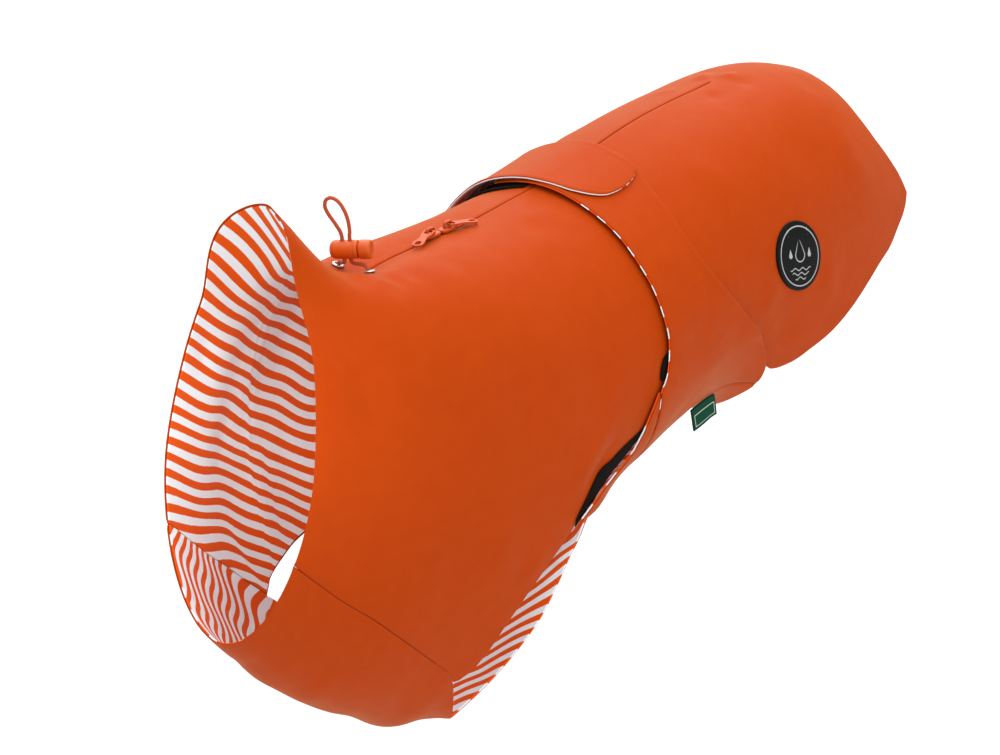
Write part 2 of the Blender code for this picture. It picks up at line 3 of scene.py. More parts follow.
import bmesh
import bpy
import numpy as np
from mathutils import Matrix, Vector


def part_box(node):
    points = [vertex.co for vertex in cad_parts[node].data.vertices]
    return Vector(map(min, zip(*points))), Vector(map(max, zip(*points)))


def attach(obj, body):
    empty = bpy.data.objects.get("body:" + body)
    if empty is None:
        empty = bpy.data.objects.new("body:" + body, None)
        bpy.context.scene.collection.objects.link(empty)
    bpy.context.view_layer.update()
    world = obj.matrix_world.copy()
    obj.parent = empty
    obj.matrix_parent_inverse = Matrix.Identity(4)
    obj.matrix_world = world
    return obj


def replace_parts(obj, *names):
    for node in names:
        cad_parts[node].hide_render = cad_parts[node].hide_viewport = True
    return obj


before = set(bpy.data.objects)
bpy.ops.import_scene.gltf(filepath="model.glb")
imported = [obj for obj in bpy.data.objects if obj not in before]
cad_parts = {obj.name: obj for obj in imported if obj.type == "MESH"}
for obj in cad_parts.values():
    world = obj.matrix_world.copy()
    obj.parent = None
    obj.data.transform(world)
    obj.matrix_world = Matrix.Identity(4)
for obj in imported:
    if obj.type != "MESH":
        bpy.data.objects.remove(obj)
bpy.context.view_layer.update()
MM = .001

# ------------------------------------------------------------ camera, floor and light
# The coat is photographed from its front left, a little above, with a long lens.
# The camera is rolled, so that the straight worn coat climbs across the picture.
TURN_DEG, RISE_DEG, ROLL_DEG = 43, 22, -4.9         # round from the neck end, upwards, rolled
AWAY, FOCAL, SENSOR = 1.9, 102, 36                  # metres from the coat's origin, mm, mm
PICTURE, ORIGIN_PIXEL = (1000, 755), (558, 172)     # where the coat's origin shows
turn, rise, roll = (math.radians(v) for v in (TURN_DEG, RISE_DEG, ROLL_DEG))
back = Vector((math.sin(turn) * math.cos(rise), -math.cos(turn) * math.cos(rise), math.sin(rise)))
level = Vector((math.cos(turn), math.sin(turn), 0))
right = level * math.cos(roll) + back.cross(level) * math.sin(roll)
up = back.cross(right)
metres = AWAY * SENSOR / FOCAL / PICTURE[0]         # in one pixel, at the origin's distance
place = (back * AWAY + right * (PICTURE[0] / 2 - ORIGIN_PIXEL[0]) * metres
         - up * (PICTURE[1] / 2 - ORIGIN_PIXEL[1]) * metres)
camera = bpy.data.objects.new("camera", bpy.data.cameras.new("camera"))
bpy.context.scene.collection.objects.link(camera)
camera.data.lens, camera.data.sensor_width = FOCAL, SENSOR
turned = Matrix((right, up, back)).transposed().to_4x4()
camera.matrix_world = Matrix.Translation(place) @ turned
bpy.context.scene.camera = camera
bpy.context.scene.view_settings.view_transform = "Standard"

FLOOR_REACH, FLOOR_Z = 9, -.62
floor_mesh = bpy.data.meshes.new("floor")
floor_mesh.from_pydata([(x * FLOOR_REACH, y * FLOOR_REACH, FLOOR_Z)
                        for x, y in ((-1, -1), (1, -1), (1, 1), (-1, 1))], [], [(0, 1, 2, 3)])
floor = bpy.data.objects.new("floor", floor_mesh)
bpy.context.scene.collection.objects.link(floor)
paper = bpy.data.materials.new("floor_paper")
paper.use_nodes = True
surface = paper.node_tree.nodes["Principled BSDF"]
surface.inputs["Base Color"].default_value = (.61, .61, .61, 1)
surface.inputs["Roughness"].default_value = .95
floor_mesh.materials.append(paper)

world = bpy.data.worlds.new("studio")
bpy.context.scene.world = world
world.use_nodes = True
sky = world.node_tree.nodes["Background"]
sky.inputs["Color"].default_value = (1, 1, 1, 1)
sky.inputs["Strength"].default_value = .70
# name  direction it shines from  softness in degrees  strength
for name, at, soft, strength in (("top_light", (.10, .0, 1.0), 70, 2.4),
                                 ("front_light", (.90, -.32, .30), 50, .95),
                                 ("back_light", (-.55, .60, .75), 60, 2.4)):
    lamp = bpy.data.objects.new(name, bpy.data.lights.new(name, "SUN"))
    lamp.data.energy, lamp.data.angle = strength, math.radians(soft)
    lamp.location = Vector(at) * 2
    lamp.rotation_euler = Vector(at).to_track_quat("Z", "Y").to_euler()
    bpy.context.scene.collection.objects.link(lamp)

# a narrow soft spot from beside the camera lights the lining inside the neck
NECK_INSIDE = Vector((-.075, -.21, -.115))
lamp = bpy.data.objects.new("neck_light", bpy.data.lights.new("neck_light", "SPOT"))
lamp.data.energy, lamp.data.shadow_soft_size = 17, .06
lamp.data.spot_size, lamp.data.spot_blend = math.radians(15), 1
lamp.location = (.45, -.79, .17)
lamp.rotation_euler = (NECK_INSIDE - lamp.location).to_track_quat("-Z", "Y").to_euler()
bpy.context.scene.collection.objects.link(lamp)

# ------------------------------------------------------------ the worn form and its cloth
# The coat hangs in slanted rings from the collar to the rump. A place on it is its station
# (the Y of the ring's top, mm) and its girth, 0 on the back to 1 on the belly, + on the left.
# It is cut from a matt bonded rain cloth and lined with a striped woven cloth.
# station  top_z  low_y  low_z  half_width  widest  upper  lower
RINGS = np.array([
    (-266, 57, -347, -201, 64, .59, 1.7, 1.85), (-236, 13, -318, -238, 73, .55, 2.3, 1.7),
    (-206, 0, -285, -270, 86, .50, 2.4, 1.7), (-160, -4, -234, -306, 98, .44, 2.4, 1.7),
    (-110, -7, -176, -326, 104, .41, 2.3, 1.8), (-60, -6, -84, -214, 104.5, .535, 2.05, 2.4),
    (-20, -4, -28, -197, 103, .515, 1.95, 2.35), (20, 1, 16, -194, 101, .49, 1.95, 2.1),
    (80, 10, 76, -191, 100, .48, 2.05, 2.05), (150, 14, 150, -228, 99, .43, 2.2, 2.2),
    (230, 13, 232, -262, 94, .40, 2.1, 2.5), (290, -8, 300, -272, 84, .38, 1.9, 2.5)], float)
# station  depth of the gutter that the drawcord pulls in along the zip
GUTTER = np.array([(-266, 0), (-225, 3), (-198, 8), (-175, 6), (-150, 4), (-130, 2), (-100, 1.5),
                   (-60, 0), (290, 0)], float)


def smooth_rows(x, table):
    """Cubic curve through a table's rows, with the mean slope of its neighbours at each row."""
    xs, ys = table[:, 0], table[:, 1:]
    x = np.clip(np.asarray(x, float), xs[0], xs[-1])
    h = np.diff(xs)[:, None]
    d = np.diff(ys, axis=0) / h
    m = np.vstack([d[:1], (d[:-1] * h[1:] + d[1:] * h[:-1]) / (h[1:] + h[:-1]), d[-1:]])
    k = np.clip(np.searchsorted(xs, x) - 1, 0, len(xs) - 2)
    hk = (xs[k + 1] - xs[k])[..., None]
    t = ((x - xs[k]) / (xs[k + 1] - xs[k]))[..., None]
    return ((2 * t**3 - 3 * t**2 + 1) * ys[k] + (t**3 - 2 * t**2 + t) * hk * m[k]
            + (3 * t**2 - 2 * t**3) * ys[k + 1] + (t**3 - t**2) * hk * m[k + 1])


def edge(x, table):
    """Cubic curve through a two-column table that never overshoots: an edge line."""
    t = np.array(table, float)
    xs, ys = t[:, 0], t[:, 1]
    x = np.clip(np.asarray(x, float), xs[0], xs[-1])
    h, d = np.diff(xs), np.diff(ys) / np.diff(xs)
    total = np.where(d[:-1] + d[1:] == 0, 1, d[:-1] + d[1:])
    both = np.where(d[:-1] * d[1:] > 0, 2 * d[:-1] * d[1:] / total, 0)
    m = np.concatenate([d[:1], both, d[-1:]])
    k = np.clip(np.searchsorted(xs, x) - 1, 0, len(xs) - 2)
    s = (x - xs[k]) / h[k]
    return ((2 * s**3 - 3 * s**2 + 1) * ys[k] + (s**3 - 2 * s**2 + s) * h[k] * m[k]
            + (3 * s**2 - 2 * s**3) * ys[k + 1] + (s**3 - s**2) * h[k] * m[k + 1])


STEP, FIRST, LAST, GIRTHS = 2.0, -266, 290, 400     # mm per ring, end stations, half ring's steps
GUTTER_WIDTH = .045                                 # in girth


def ring_table():
    """Points, normals and half lengths of all rings: an upper and a lower superellipse, joined at
    the ring's widest level."""
    stations = np.arange(FIRST, LAST + 1, STEP)
    angle = np.linspace(0, math.pi, 361)
    top_z, low_y, low_z, half, widest, upper, lower = smooth_rows(stations, RINGS).T[:, :, None]
    over = angle[None] <= math.pi / 2
    power = np.where(over, 2 / upper, 2 / lower)
    c = np.abs(np.cos(angle))[None] ** power
    depth = np.where(over, widest * (1 - c), widest + (1 - widest) * c)
    x = half * np.abs(np.sin(angle))[None] ** power
    drop = np.hypot(low_y - stations[:, None], low_z - top_z)
    walk = np.cumsum(np.hypot(np.diff(x, axis=1), np.diff(depth, axis=1) * drop), axis=1)
    walk = np.concatenate([np.zeros((len(stations), 1)), walk], axis=1)
    g = np.linspace(0, 1, GIRTHS + 1)
    xi = np.array([np.interp(g * w[-1], w, a) for w, a in zip(walk, x)])
    di = np.array([np.interp(g * w[-1], w, a) for w, a in zip(walk, depth)])
    y = stations[:, None] + (low_y - stations[:, None]) * di
    z = (top_z + (low_z - top_z) * di
         - smooth_rows(stations, GUTTER) * np.exp(-(g[None] / GUTTER_WIDTH) ** 2))
    left = np.stack([xi, y, z], -1)
    points = np.concatenate([left[:, :0:-1] * (-1, 1, 1), left], axis=1)
    n = np.cross(np.gradient(points, axis=1), np.gradient(points, axis=0))
    n[:, (0, GIRTHS, -1), 0] = 0
    return points, n / np.linalg.norm(n, axis=-1, keepdims=True), walk[:, -1]


POINTS, NORMALS, HALF = ring_table()


def read(table, s, g):
    """Value of a ring table at (station, girth), by straight lines between its entries."""
    i = np.clip((s - FIRST) / STEP, 0, len(table) - 1.001)
    j = np.clip((g + 1) * GIRTHS, 0, 2 * GIRTHS - .001)
    i0, j0 = i.astype(int), j.astype(int)
    u, v = (i - i0)[..., None], (j - j0)[..., None]
    return (table[i0, j0] * (1 - u) * (1 - v) + table[i0, j0 + 1] * (1 - u) * v
            + table[i0 + 1, j0] * u * (1 - v) + table[i0 + 1, j0 + 1] * u * v)


def half_length(s):
    """Length of cloth in mm from the back to the belly, round the ring at a station."""
    return np.interp(s, np.arange(FIRST, LAST + 1, STEP), HALF)


HALF_GIRTH = 340.0                                  # mm in one unit of girth, about
# Soft folds of the worn cloth, each along a line from one place to another.
# station girth  to station girth  half_width in mm  height in mm (a trough is negative)
FOLDS = [
    # soft pulls round the eyelets, where the drawcord gathers the neck
    (-226, .050, -220, .110, 6, -1.1), (-214, .070, -190, .125, 5, .9),
    (-206, .085, -186, .105, 6, -1.5), (-190, .070, -172, .110, 6, -1.3),
    (-200, .060, -180, .060, 4, .6), (-216, .120, -196, .170, 7, .9),
    (-224, -.050, -222, -.120, 6, -1.0), (-212, -.070, -192, -.120, 5, .8),
    (-204, -.085, -184, -.110, 6, -1.4), (-188, -.065, -168, -.105, 6, -1.2),
    (-214, -.120, -198, -.165, 7, .8),
    # small dents beside the sliders
    (-158, .070, -140, .115, 6, -1.0), (-142, .040, -120, .085, 6, .6),
    (-156, -.070, -136, -.110, 6, -.9),
    # soft pulls in front of the closing tab
    (-76, .050, -38, .110, 6, .8), (-86, .080, -50, .150, 7, -.8), (-96, .110, -58, .175, 8, .7),
    (-74, -.050, -40, -.120, 6, .8), (-88, -.080, -54, -.150, 7, -.8),
    # the collar's mouth is pressed flat towards its far side
    (-268, .03, -262, -.27, 30, 12.0), (-268, .04, -254, .34, 24, -7.0),
    # long soft falls of the shoulder and chest
    (-172, .200, -165, .420, 11, 1.8), (-196, .240, -205, .470, 13, -1.6),
    (-140, .230, -128, .460, 14, -1.6), (-118, .180, -102, .380, 13, 1.5),
    (-232, .200, -246, .480, 12, -1.7), (-214, .330, -220, .600, 11, 1.5),
    (-90, .300, -66, .500, 12, -1.6), (-160, .480, -134, .650, 12, 1.7),
    (-186, .520, -170, .700, 11, -1.5), (-104, .480, -64, .560, 9, 1.6),
    (-92, .540, -60, .600, 7, -1.8), (-120, .560, -112, .640, 7, 1.3),
    (-240, .560, -232, .700, 9, -1.2), (-255, .280, -250, .430, 8, 1.2),
    (-170, -.210, -160, -.430, 12, 1.7), (-198, -.250, -210, -.460, 12, -1.7),
    (-136, -.240, -122, -.450, 14, -1.5), (-116, -.190, -98, -.390, 13, 1.6),
    (-230, -.220, -242, -.470, 12, -1.5), (-212, -.340, -222, -.590, 10, 1.6),
    (-88, -.310, -62, -.510, 12, -1.7), (-158, -.470, -136, -.640, 12, 1.5),
    (-184, -.530, -168, -.690, 11, -1.6), (-102, -.490, -66, -.570, 9, 1.5),
    (-254, -.270, -252, -.420, 8, 1.3),
    # the back and flanks behind the band, and the pucker where the zip ends
    (176, .002, 196, .020, 5, 1.8), (170, -.010, 184, -.060, 6, 1.9),
    (158, .020, 140, .080, 6, -1.4), (178, .020, 190, .085, 7, -1.3),
    (152, -.030, 132, -.090, 7, 1.2), (186, -.020, 204, -.090, 7, -1.2),
    (60, .140, 96, .330, 13, 1.4), (52, .300, 84, .520, 13, -1.5), (110, .480, 86, .600, 10, 2.0),
    (134, .560, 112, .660, 9, -1.8), (150, .180, 186, .330, 15, -1.4),
    (206, .200, 230, .380, 14, 1.4), (60, .560, 96, .640, 7, 1.5), (176, .430, 160, .600, 11, 1.5),
    (218, .060, 244, .160, 12, -1.1), (62, -.150, 98, -.320, 13, 1.5),
    (50, -.310, 86, -.500, 13, -1.4), (112, -.470, 90, -.600, 10, 1.9),
    (136, -.550, 110, -.660, 9, -1.6), (152, -.190, 184, -.340, 15, -1.5),
    (204, -.210, 232, -.370, 14, 1.3), (58, -.570, 92, -.650, 7, 1.4),
    (178, -.420, 162, -.590, 11, 1.6), (222, -.070, 246, -.150, 12, -1.0),
    # the band: slight pulls towards its seams
    (-16, .300, 18, .360, 8, .9), (-12, .480, 30, .520, 9, -1.0), (4, .560, 60, .640, 9, 1.1),
    (-14, .660, 20, .700, 8, -.9), (-14, -.320, 16, -.380, 8, .9), (-10, -.470, 32, -.530, 9, -1.1),
    (6, -.580, 58, -.650, 9, 1.0), (20, .820, 60, .900, 9, 1.0), (16, -.840, 52, -.940, 9, -1.0),
]


def creases(u, v, unit, table):
    """Sum of a table's folds at (u, v) in mm: each a bell across its line, fading in and out along
    it. The table's second and fourth column are in units of v."""
    out = np.zeros(np.broadcast(u, v).shape)
    for u0, v0, u1, v1, wide, high in table:
        a, b = np.array([u0, v0 * unit]), np.array([u1, v1 * unit])
        d = b - a
        long = np.hypot(*d)
        t = ((u - a[0]) * d[0] + (v - a[1]) * d[1]) / long**2
        across = ((u - a[0]) * d[1] - (v - a[1]) * d[0]) / long
        along = np.where((t > 0) & (t < 1), np.sin(math.pi * np.clip(t, 0, 1)) ** 2, 0)
        out += high * along * np.exp(-(across / wide) ** 2)
    return out


def on_form(s, g, lift):
    """Points of the worn form moved out by lift and by the folds, and the normals there, in mm."""
    s, g, lift = np.broadcast_arrays(*(np.asarray(v, float) for v in (s, g, lift)))
    n = read(NORMALS, s, g)
    n = n / np.linalg.norm(n, axis=-1, keepdims=True)
    out = lift + creases(s, g * HALF_GIRTH, HALF_GIRTH, FOLDS)
    return read(POINTS, s, g) + n * out[..., None], n


def feed(tree, node, sockets):
    """Gives each of a node's inputs its value, or the output that feeds it."""
    for socket, value in sockets.items():
        if isinstance(value, bpy.types.NodeSocket):
            tree.links.new(value, node.inputs[socket])
        else:
            node.inputs[socket].default_value = value


def add(tree, kind, sockets, **settings):
    """New shader node of a kind, with its settings and its inputs."""
    node = tree.nodes.new("ShaderNode" + kind)
    for name, value in settings.items():
        setattr(node, name, value)
    feed(tree, node, sockets)
    return node


def new_material(name):
    """Fresh material, its node tree and its surface node."""
    m = bpy.data.materials.new(name)
    m.use_nodes = True
    return m, m.node_tree, m.node_tree.nodes["Principled BSDF"]


def mixed(tree, share, a, b, blend="MIX"):
    """Colour between a and b; a colour may be three numbers or another node's output."""
    a, b = ((*c, 1) if isinstance(c, tuple) else c for c in (a, b))
    node = add(tree, "Mix", {}, data_type="RGBA", blend_type=blend)
    feed(tree, node, {"Factor": share, "A": a, "B": b})
    return node.outputs["Result"]


def weave(tree, surface, thread, depth, soft=.10):
    """Bump of a close weave with threads so many mm apart, on the cloth's own UV in mm, over a
    broad soft unevenness. Returns the UV, the unevenness and the height of the weave."""
    uv = add(tree, "UVMap", {}, uv_map="cut").outputs[0]
    bands = {"Scale": 1 / thread * math.pi / 10, "Distortion": .4, "Detail": 1, "Vector": uv}
    warp, weft = (add(tree, "TexWave", bands, wave_type="BANDS", bands_direction=axis)
                  .outputs["Fac"] for axis in ("X", "Y"))
    both = add(tree, "Math", {0: warp, 1: weft}, operation="MAXIMUM").outputs[0]
    uneven = add(tree, "TexNoise", {"Scale": .09, "Detail": 4, "Vector": uv}).outputs["Fac"]
    slow = add(tree, "Bump", {"Strength": soft, "Distance": .0012, "Height": uneven})
    bump = add(tree, "Bump", {"Strength": .5, "Distance": depth, "Height": both,
                              "Normal": slow.outputs["Normal"]})
    feed(tree, surface, {"Normal": bump.outputs["Normal"]})
    return uv, uneven, both


def rain_cloth(name, colour, deep):
    """Bonded rain cloth: a close matt weave with painted shade in its thread gaps, a little uneven
    in colour, with a faint sheen.
    """
    m, tree, surface = new_material(name)
    _, uneven, threads = weave(tree, surface, .55, .00012)
    spread = add(tree, "MapRange", {"From Min": .30, "From Max": .62, "Value": uneven})
    plain_colour = mixed(tree, spread.outputs[0], deep, colour)
    # painted shade: the colour is darkened a little in the gaps between the threads
    between = add(tree, "Math", {0: 1.0, 1: threads}, operation="SUBTRACT")
    rough = add(tree, "MapRange", {"To Min": .62, "To Max": .48, "Value": uneven})
    feed(tree, surface, {
        "Base Color": mixed(tree, between.outputs[0], plain_colour, (.95, .92, .90), "MULTIPLY"),
        "Roughness": rough.outputs[0], "Specular IOR Level": .04,
        "Sheen Weight": .12, "Sheen Roughness": .3, "Sheen Tint": (.8, 1, .35, 1)})
    return m


ORANGE = rain_cloth("rain_cloth_orange", (.392, .0425, .0014), (.378, .040, .0012))


def striped_cloth(name, white, orange):
    """Lining print: stripes read from the 'stripe' attribute, which grows by 1 from one white
    stripe to the next, with slightly wavering edges."""
    m, tree, surface = new_material(name)
    uv, uneven, _ = weave(tree, surface, .8, .00018, .3)
    count = add(tree, "Attribute", {}, attribute_name="stripe").outputs["Fac"]
    waver = add(tree, "TexNoise", {"Scale": .22, "Detail": 3, "Vector": uv}).outputs["Fac"]
    place = add(tree, "Math", {0: waver, 1: .05, 2: count}, operation="MULTIPLY_ADD").outputs[0]
    place = add(tree, "Math", {0: place}, operation="FRACT").outputs[0]
    place = add(tree, "Math", {0: place, 1: .5}, operation="SUBTRACT").outputs[0]
    place = add(tree, "Math", {0: place}, operation="ABSOLUTE").outputs[0]
    print_edge = add(tree, "MapRange", {"From Min": .235, "From Max": .265, "Value": place},
                     interpolation_type="SMOOTHSTEP")
    printed = mixed(tree, print_edge.outputs[0], white, orange)
    feed(tree, surface, {"Base Color": mixed(tree, uneven, printed, (.93, .94, .95), "MULTIPLY"),
                         "Roughness": .85, "Specular IOR Level": .06, "Sheen Weight": .04})
    return m


STRIPES = striped_cloth("striped_lining_cloth", (.83, .93, .96), (.78, .094, .004))
STRIPE = 10.6                                       # one white and one orange stripe, mm


def finish_mesh(name, verts, faces, mat, uv=None, stripe=None, body="coat", smooth=60):
    """Object at the origin from points in mm, with its cut UV and stripe attribute."""
    mesh = bpy.data.meshes.new(name)
    points = (np.asarray(verts, float) * MM).tolist()
    mesh.from_pydata(points, [], [list(map(int, f)) for f in faces])
    mesh.update()
    corner = np.zeros(len(mesh.loops), np.int32)
    mesh.loops.foreach_get("vertex_index", corner)
    if uv is not None:
        layer = mesh.uv_layers.new(name="cut")
        layer.data.foreach_set("uv", np.asarray(uv, np.float32)[corner].ravel())
    if stripe is not None:
        values = np.asarray(stripe, np.float32).ravel()
        mesh.attributes.new("stripe", "FLOAT", "POINT").data.foreach_set("value", values)
    mesh.shade_smooth()
    if smooth:
        mesh.set_sharp_from_angle(angle=math.radians(smooth))
    ob = bpy.data.objects.new(name, mesh)
    bpy.context.scene.collection.objects.link(ob)
    mesh.materials.append(mat)
    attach(ob, body)
    return ob


def cloth(name, base, normal, low, high, uv, mat, stripe=None, keep=None, roll=.42):
    """Closed sheet: a grid of points moved along its normals by low and by high, with its rims
    rolled over by a narrow bevel, roll mm wide. keep says which cells are cloth."""
    rows, cols = base.shape[:2]
    high, low = (np.broadcast_to(v, (rows, cols))[..., None] for v in (high, low))
    verts = np.concatenate([(base + normal * v).reshape(-1, 3) for v in (high, low)])
    under = rows * cols
    index = np.arange(under).reshape(rows, cols)
    kept = np.ones((rows - 1, cols - 1), bool) if keep is None else keep
    a, b, c, d = index[:-1, :-1], index[:-1, 1:], index[1:, 1:], index[1:, :-1]
    outer = np.stack([a, b, c, d], -1)[kept]
    wide = np.pad(kept, 1)
    rims = []
    for p, q, next_cell in ((a, b, wide[:-2, 1:-1]), (b, c, wide[1:-1, 2:]),
                            (c, d, wide[2:, 1:-1]), (d, a, wide[1:-1, :-2])):
        open_side = kept & ~next_cell
        p, q = p[open_side], q[open_side]
        rims.append(np.stack([q, p, p + under, q + under], -1))
    faces = np.concatenate([outer, outer[:, ::-1] + under, *rims])
    used = np.unique(faces)
    new = np.full(2 * under, -1)
    new[used] = np.arange(len(used))
    uv = np.concatenate([uv.reshape(-1, 2)] * 2)[used]
    stripe = None if stripe is None else np.concatenate([stripe.ravel()] * 2)[used]
    ob = finish_mesh(name, verts[used], new[faces], mat, uv, stripe, smooth=50)
    bevel = ob.modifiers.new("rolled_rim", "BEVEL")
    bevel.width, bevel.segments, bevel.limit_method = roll * MM, 2, "ANGLE"
    bevel.angle_limit = math.radians(55)
    return ob


def cut_uv(s, g):
    """UV in mm of the flat cut: length of cloth from the centre back, and station."""
    s, g = np.broadcast_arrays(np.asarray(s, float), np.asarray(g, float))
    return np.stack([g * half_length(s), s], -1)


# ------------------------------------------------------------ coat shell
# One panel of rain cloth bent over the back from collar to rump, slit along the back for the zip.
# Its lower edge is sewn to the chest panel, runs up round the leg hole and is hemmed behind it.
# station  girth of that lower edge
SHELL_EDGE = [(-266, .722), (-242, .717), (-224, .720), (-197, .743), (-165, .785), (-142, .820),
              (-132, .777), (-125, .702), (-115, .649), (-102, .619), (-89, .616), (-71, .646),
              (-54, .666), (-40, .647), (-18, .625), (10, .628), (67, .648), (109, .697),
              (122, .724), (138, .704), (155, .670), (175, .633), (196, .587), (221, .530),
              (235, .500), (251, .470), (265, .430), (278, .390), (285, .357)]
# The coat lies a little askew: its right leg hole is open further forward than its left one.
# station  girth
RIGHT_LEG = [(-188, .80), (-181, .735), (-173, .711), (-160, .684), (-148, .661), (-136, .643),
             (-120, .628), (-105, .618), (-89, .616), (-70, .9)]
LEFT_HOLE, RIGHT_HOLE = -142, -186                  # stations where the leg holes begin
# girth  station of the rear edge
REAR_EDGE = [(0, 262), (.10, 258), (.18, 258), (.233, 262), (.287, 273), (.320, 280), (.357, 285)]
COLLAR, REAR_START, REAR_END = -266, 170, 285       # stations: the rows bend from REAR_START on
ZIP_FRONT, ZIP_REAR, SLIT = -186, 170, .0015        # stations of the slit, half its width in girth
CLOTH, LINING, GAP = 1.2, 1.0, .3                   # thickness, and the gap between layers, mm
# rows of the grid, closer where the lining is puckered, and its first columns beside the back
shell_rows = np.unique(np.concatenate([
    np.arange(COLLAR, REAR_END, 3.1), np.arange(-213, -186, 1.55),
    [ZIP_FRONT, ZIP_REAR, REAR_END]]))
near_back = np.array([SLIT, .0030, .0055, .009, .013, .018, .024, .031, .0385, .046, .054, .063,
                      .074, .086])
SHELL_SHARES = 53                                   # columns from there to the lower edge


def shell_edge(s, side):
    """Girth of the lower edge on the left (side 1) or on the right (side -1), where the leg hole
    cuts in further."""
    left = edge(s, SHELL_EDGE)
    return left if side > 0 else np.minimum(left, edge(s, RIGHT_LEG))


def shell_grid(rows, inset=0.0):
    """Stations and girths of the panel, both halves; the last rows bend round to the rear edge."""
    share = np.linspace(0, 1, SHELL_SHARES)[1:]
    halves = []
    for side in (-1, 1):
        low = shell_edge(rows, side)[:, None] - inset / HALF_GIRTH
        halves.append(np.concatenate([np.broadcast_to(near_back, (len(rows), len(near_back))),
                                      near_back[-1] + (low - near_back[-1]) * share], axis=1))
    g = np.concatenate([-halves[0][:, ::-1], halves[1]], axis=1)
    s = np.broadcast_to(rows[:, None], g.shape).copy()
    bend = np.clip((s - REAR_START) / (REAR_END - REAR_START), 0, None)
    rear = edge(np.abs(g[-1]), REAR_EDGE)[None] - inset
    return np.where(s > REAR_START, REAR_START + bend * (rear - REAR_START), s), g


shell_s, shell_g = shell_grid(shell_rows)
kept = np.ones((len(shell_rows) - 1, shell_g.shape[1] - 1), bool)
in_zip = (shell_rows[:-1] >= ZIP_FRONT) & (shell_rows[1:] <= ZIP_REAR)
kept[in_zip, shell_g.shape[1] // 2 - 1] = False


def zip_lip(s, g):
    """The two slit edges turn down into the zip, and stand up hardly at all beside it."""
    here = edge(s, [(ZIP_FRONT - 6, 0), (ZIP_FRONT + 6, 1), (ZIP_REAR - 4, 1), (ZIP_REAR + 4, 0)])
    x = np.abs(g) * HALF_GIRTH
    return here * (.14 * np.exp(-((x - 3.4) / 2.4) ** 2) - .8 * np.exp(-(x / .9) ** 2))


def sewn_in(x):
    """A sewn edge turns in by .7 mm, within a mm or two of the seam; x is the distance to it."""
    return -.7 * np.exp(-(x / 1.6) ** 2)


def seam_dip(s, g):
    """The shell's lower edge turns in where it is sewn to the chest, in front of the leg holes."""
    x = (edge(s, SHELL_EDGE) - np.abs(g)) * HALF_GIRTH
    return sewn_in(x) * np.clip((np.where(g > 0, LEFT_HOLE + 4, RIGHT_HOLE + 2) - s) / 8, 0, 1)


def rim(x, full, thin, over=3.0):
    """Thickness of cloth that thins from full to thin near a turned edge, which is x mm away."""
    return full - (full - thin) * np.exp(-(x / over) ** 2)


base, normal = on_form(shell_s, shell_g, 0)
shape = zip_lip(shell_s, shell_g) + seam_dip(shell_s, shell_g)
shell = cloth("shell_cloth", base, normal, shape, shape + rim(shell_s - COLLAR, CLOTH, .8),
              cut_uv(shell_s, shell_g), ORANGE, keep=kept)
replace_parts(shell, "body_shell")

# ------------------------------------------------------------ shell lining
# The same cut in striped cloth inside the shell. Its stripes run along the body, sag behind the
# collar and climb again past the drawcord's channel, where the lining is puckered.
# girth  station of the channel
CHANNEL = [(0, -200), (.25, -204), (.37, -199), (.48, -188), (.60, -182), (.70, -176), (1, -172)]
# girth  count of stripes downwards, 0 for the one at .174
COUNT = [(0, -4.9), (.174, 0), (.493, 9), (.76, 17), (1, 24.2)]
# station at  girth  slant in stations for 1 of girth  from girth  to girth  jump in stripes
PUCKERS = [(-199, .37, 75, .34, .74, .16), (-172, .53, 80, .49, .69, .2),
           (-208, .652, 215, .63, .77, .3)]
# stations: the last ring counted by its own girth, where the stripes run level, where they climb
SHOULDER, LEVEL_FROM, CLIMB_FROM = -110, -95, -234


def neck_stripe(s, g):
    """Stripe count down the ring: girth less a lean that falls behind the collar and then climbs,
    and small jumps where a line of puckers crosses. Behind the shoulder the stripes run level,
    and are counted by the length of cloth from the back."""
    a = np.abs(g) * half_length(s) / half_length(np.minimum(s, SHOULDER))
    s = LEVEL_FROM - .5 * (LEVEL_FROM - s + np.hypot(LEVEL_FROM - s, 20))
    sag, climb = (.010 + .078 * (a - .21)) / 30, .0024 - .0022 * a
    past = s - CLIMB_FROM - 40 * (a - .2)
    lean = (sag + climb) * .5 * (past + np.hypot(past, 9)) - sag * (s - COLLAR)
    where, count = np.array(COUNT).T
    n = (np.interp(a - lean, where, count)
         + .05 * np.sin(s * .11 + a * 31) + .04 * np.sin(s * .05 - a * 47))
    for at, at_g, slant, from_g, to_g, jump in PUCKERS:
        inside = np.clip((a - from_g) / .04, 0, 1) * np.clip((to_g - a) / .04, 0, 1)
        n = n - jump * inside * (1 / (1 + np.exp(-(s - at - slant * (a - at_g)) / .8)) - .5)
    return n


def gather(s, g):
    """Channel of the drawcord as a low trough round the neck, and the short puckers across it."""
    x = s - edge(np.abs(g), CHANNEL)
    pucker = .3 * np.sin(g * 150 + 2 * np.sin(g * 31)) * np.exp(-(x / 13) ** 2)
    return .7 * np.exp(-(x / 2.6) ** 2) - .6 * np.exp(-((x - 8) / 5) ** 2) + pucker


LINING_INSET = .9                                   # mm inside the shell's free edges
lining_s, lining_g = shell_grid(shell_rows, LINING_INSET)
hollow = -GAP - .25 + np.minimum(0, -np.abs(gather(lining_s, lining_g)) + .1)
hollow = hollow + np.minimum(zip_lip(lining_s, lining_g), 0)
hollow = hollow + (-.06 - hollow) * np.exp(-((lining_s - COLLAR) / 4) ** 2)     # close at the rim
lining_s[0] += .8                                   # the shell's rim covers the lining's
base, normal = on_form(lining_s, lining_g, 0)
lining = cloth("shell_lining", base, normal, hollow - LINING, hollow, cut_uv(lining_s, lining_g),
               STRIPES, stripe=neck_stripe(lining_s, lining_g), roll=.3)
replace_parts(lining, "body_lining")

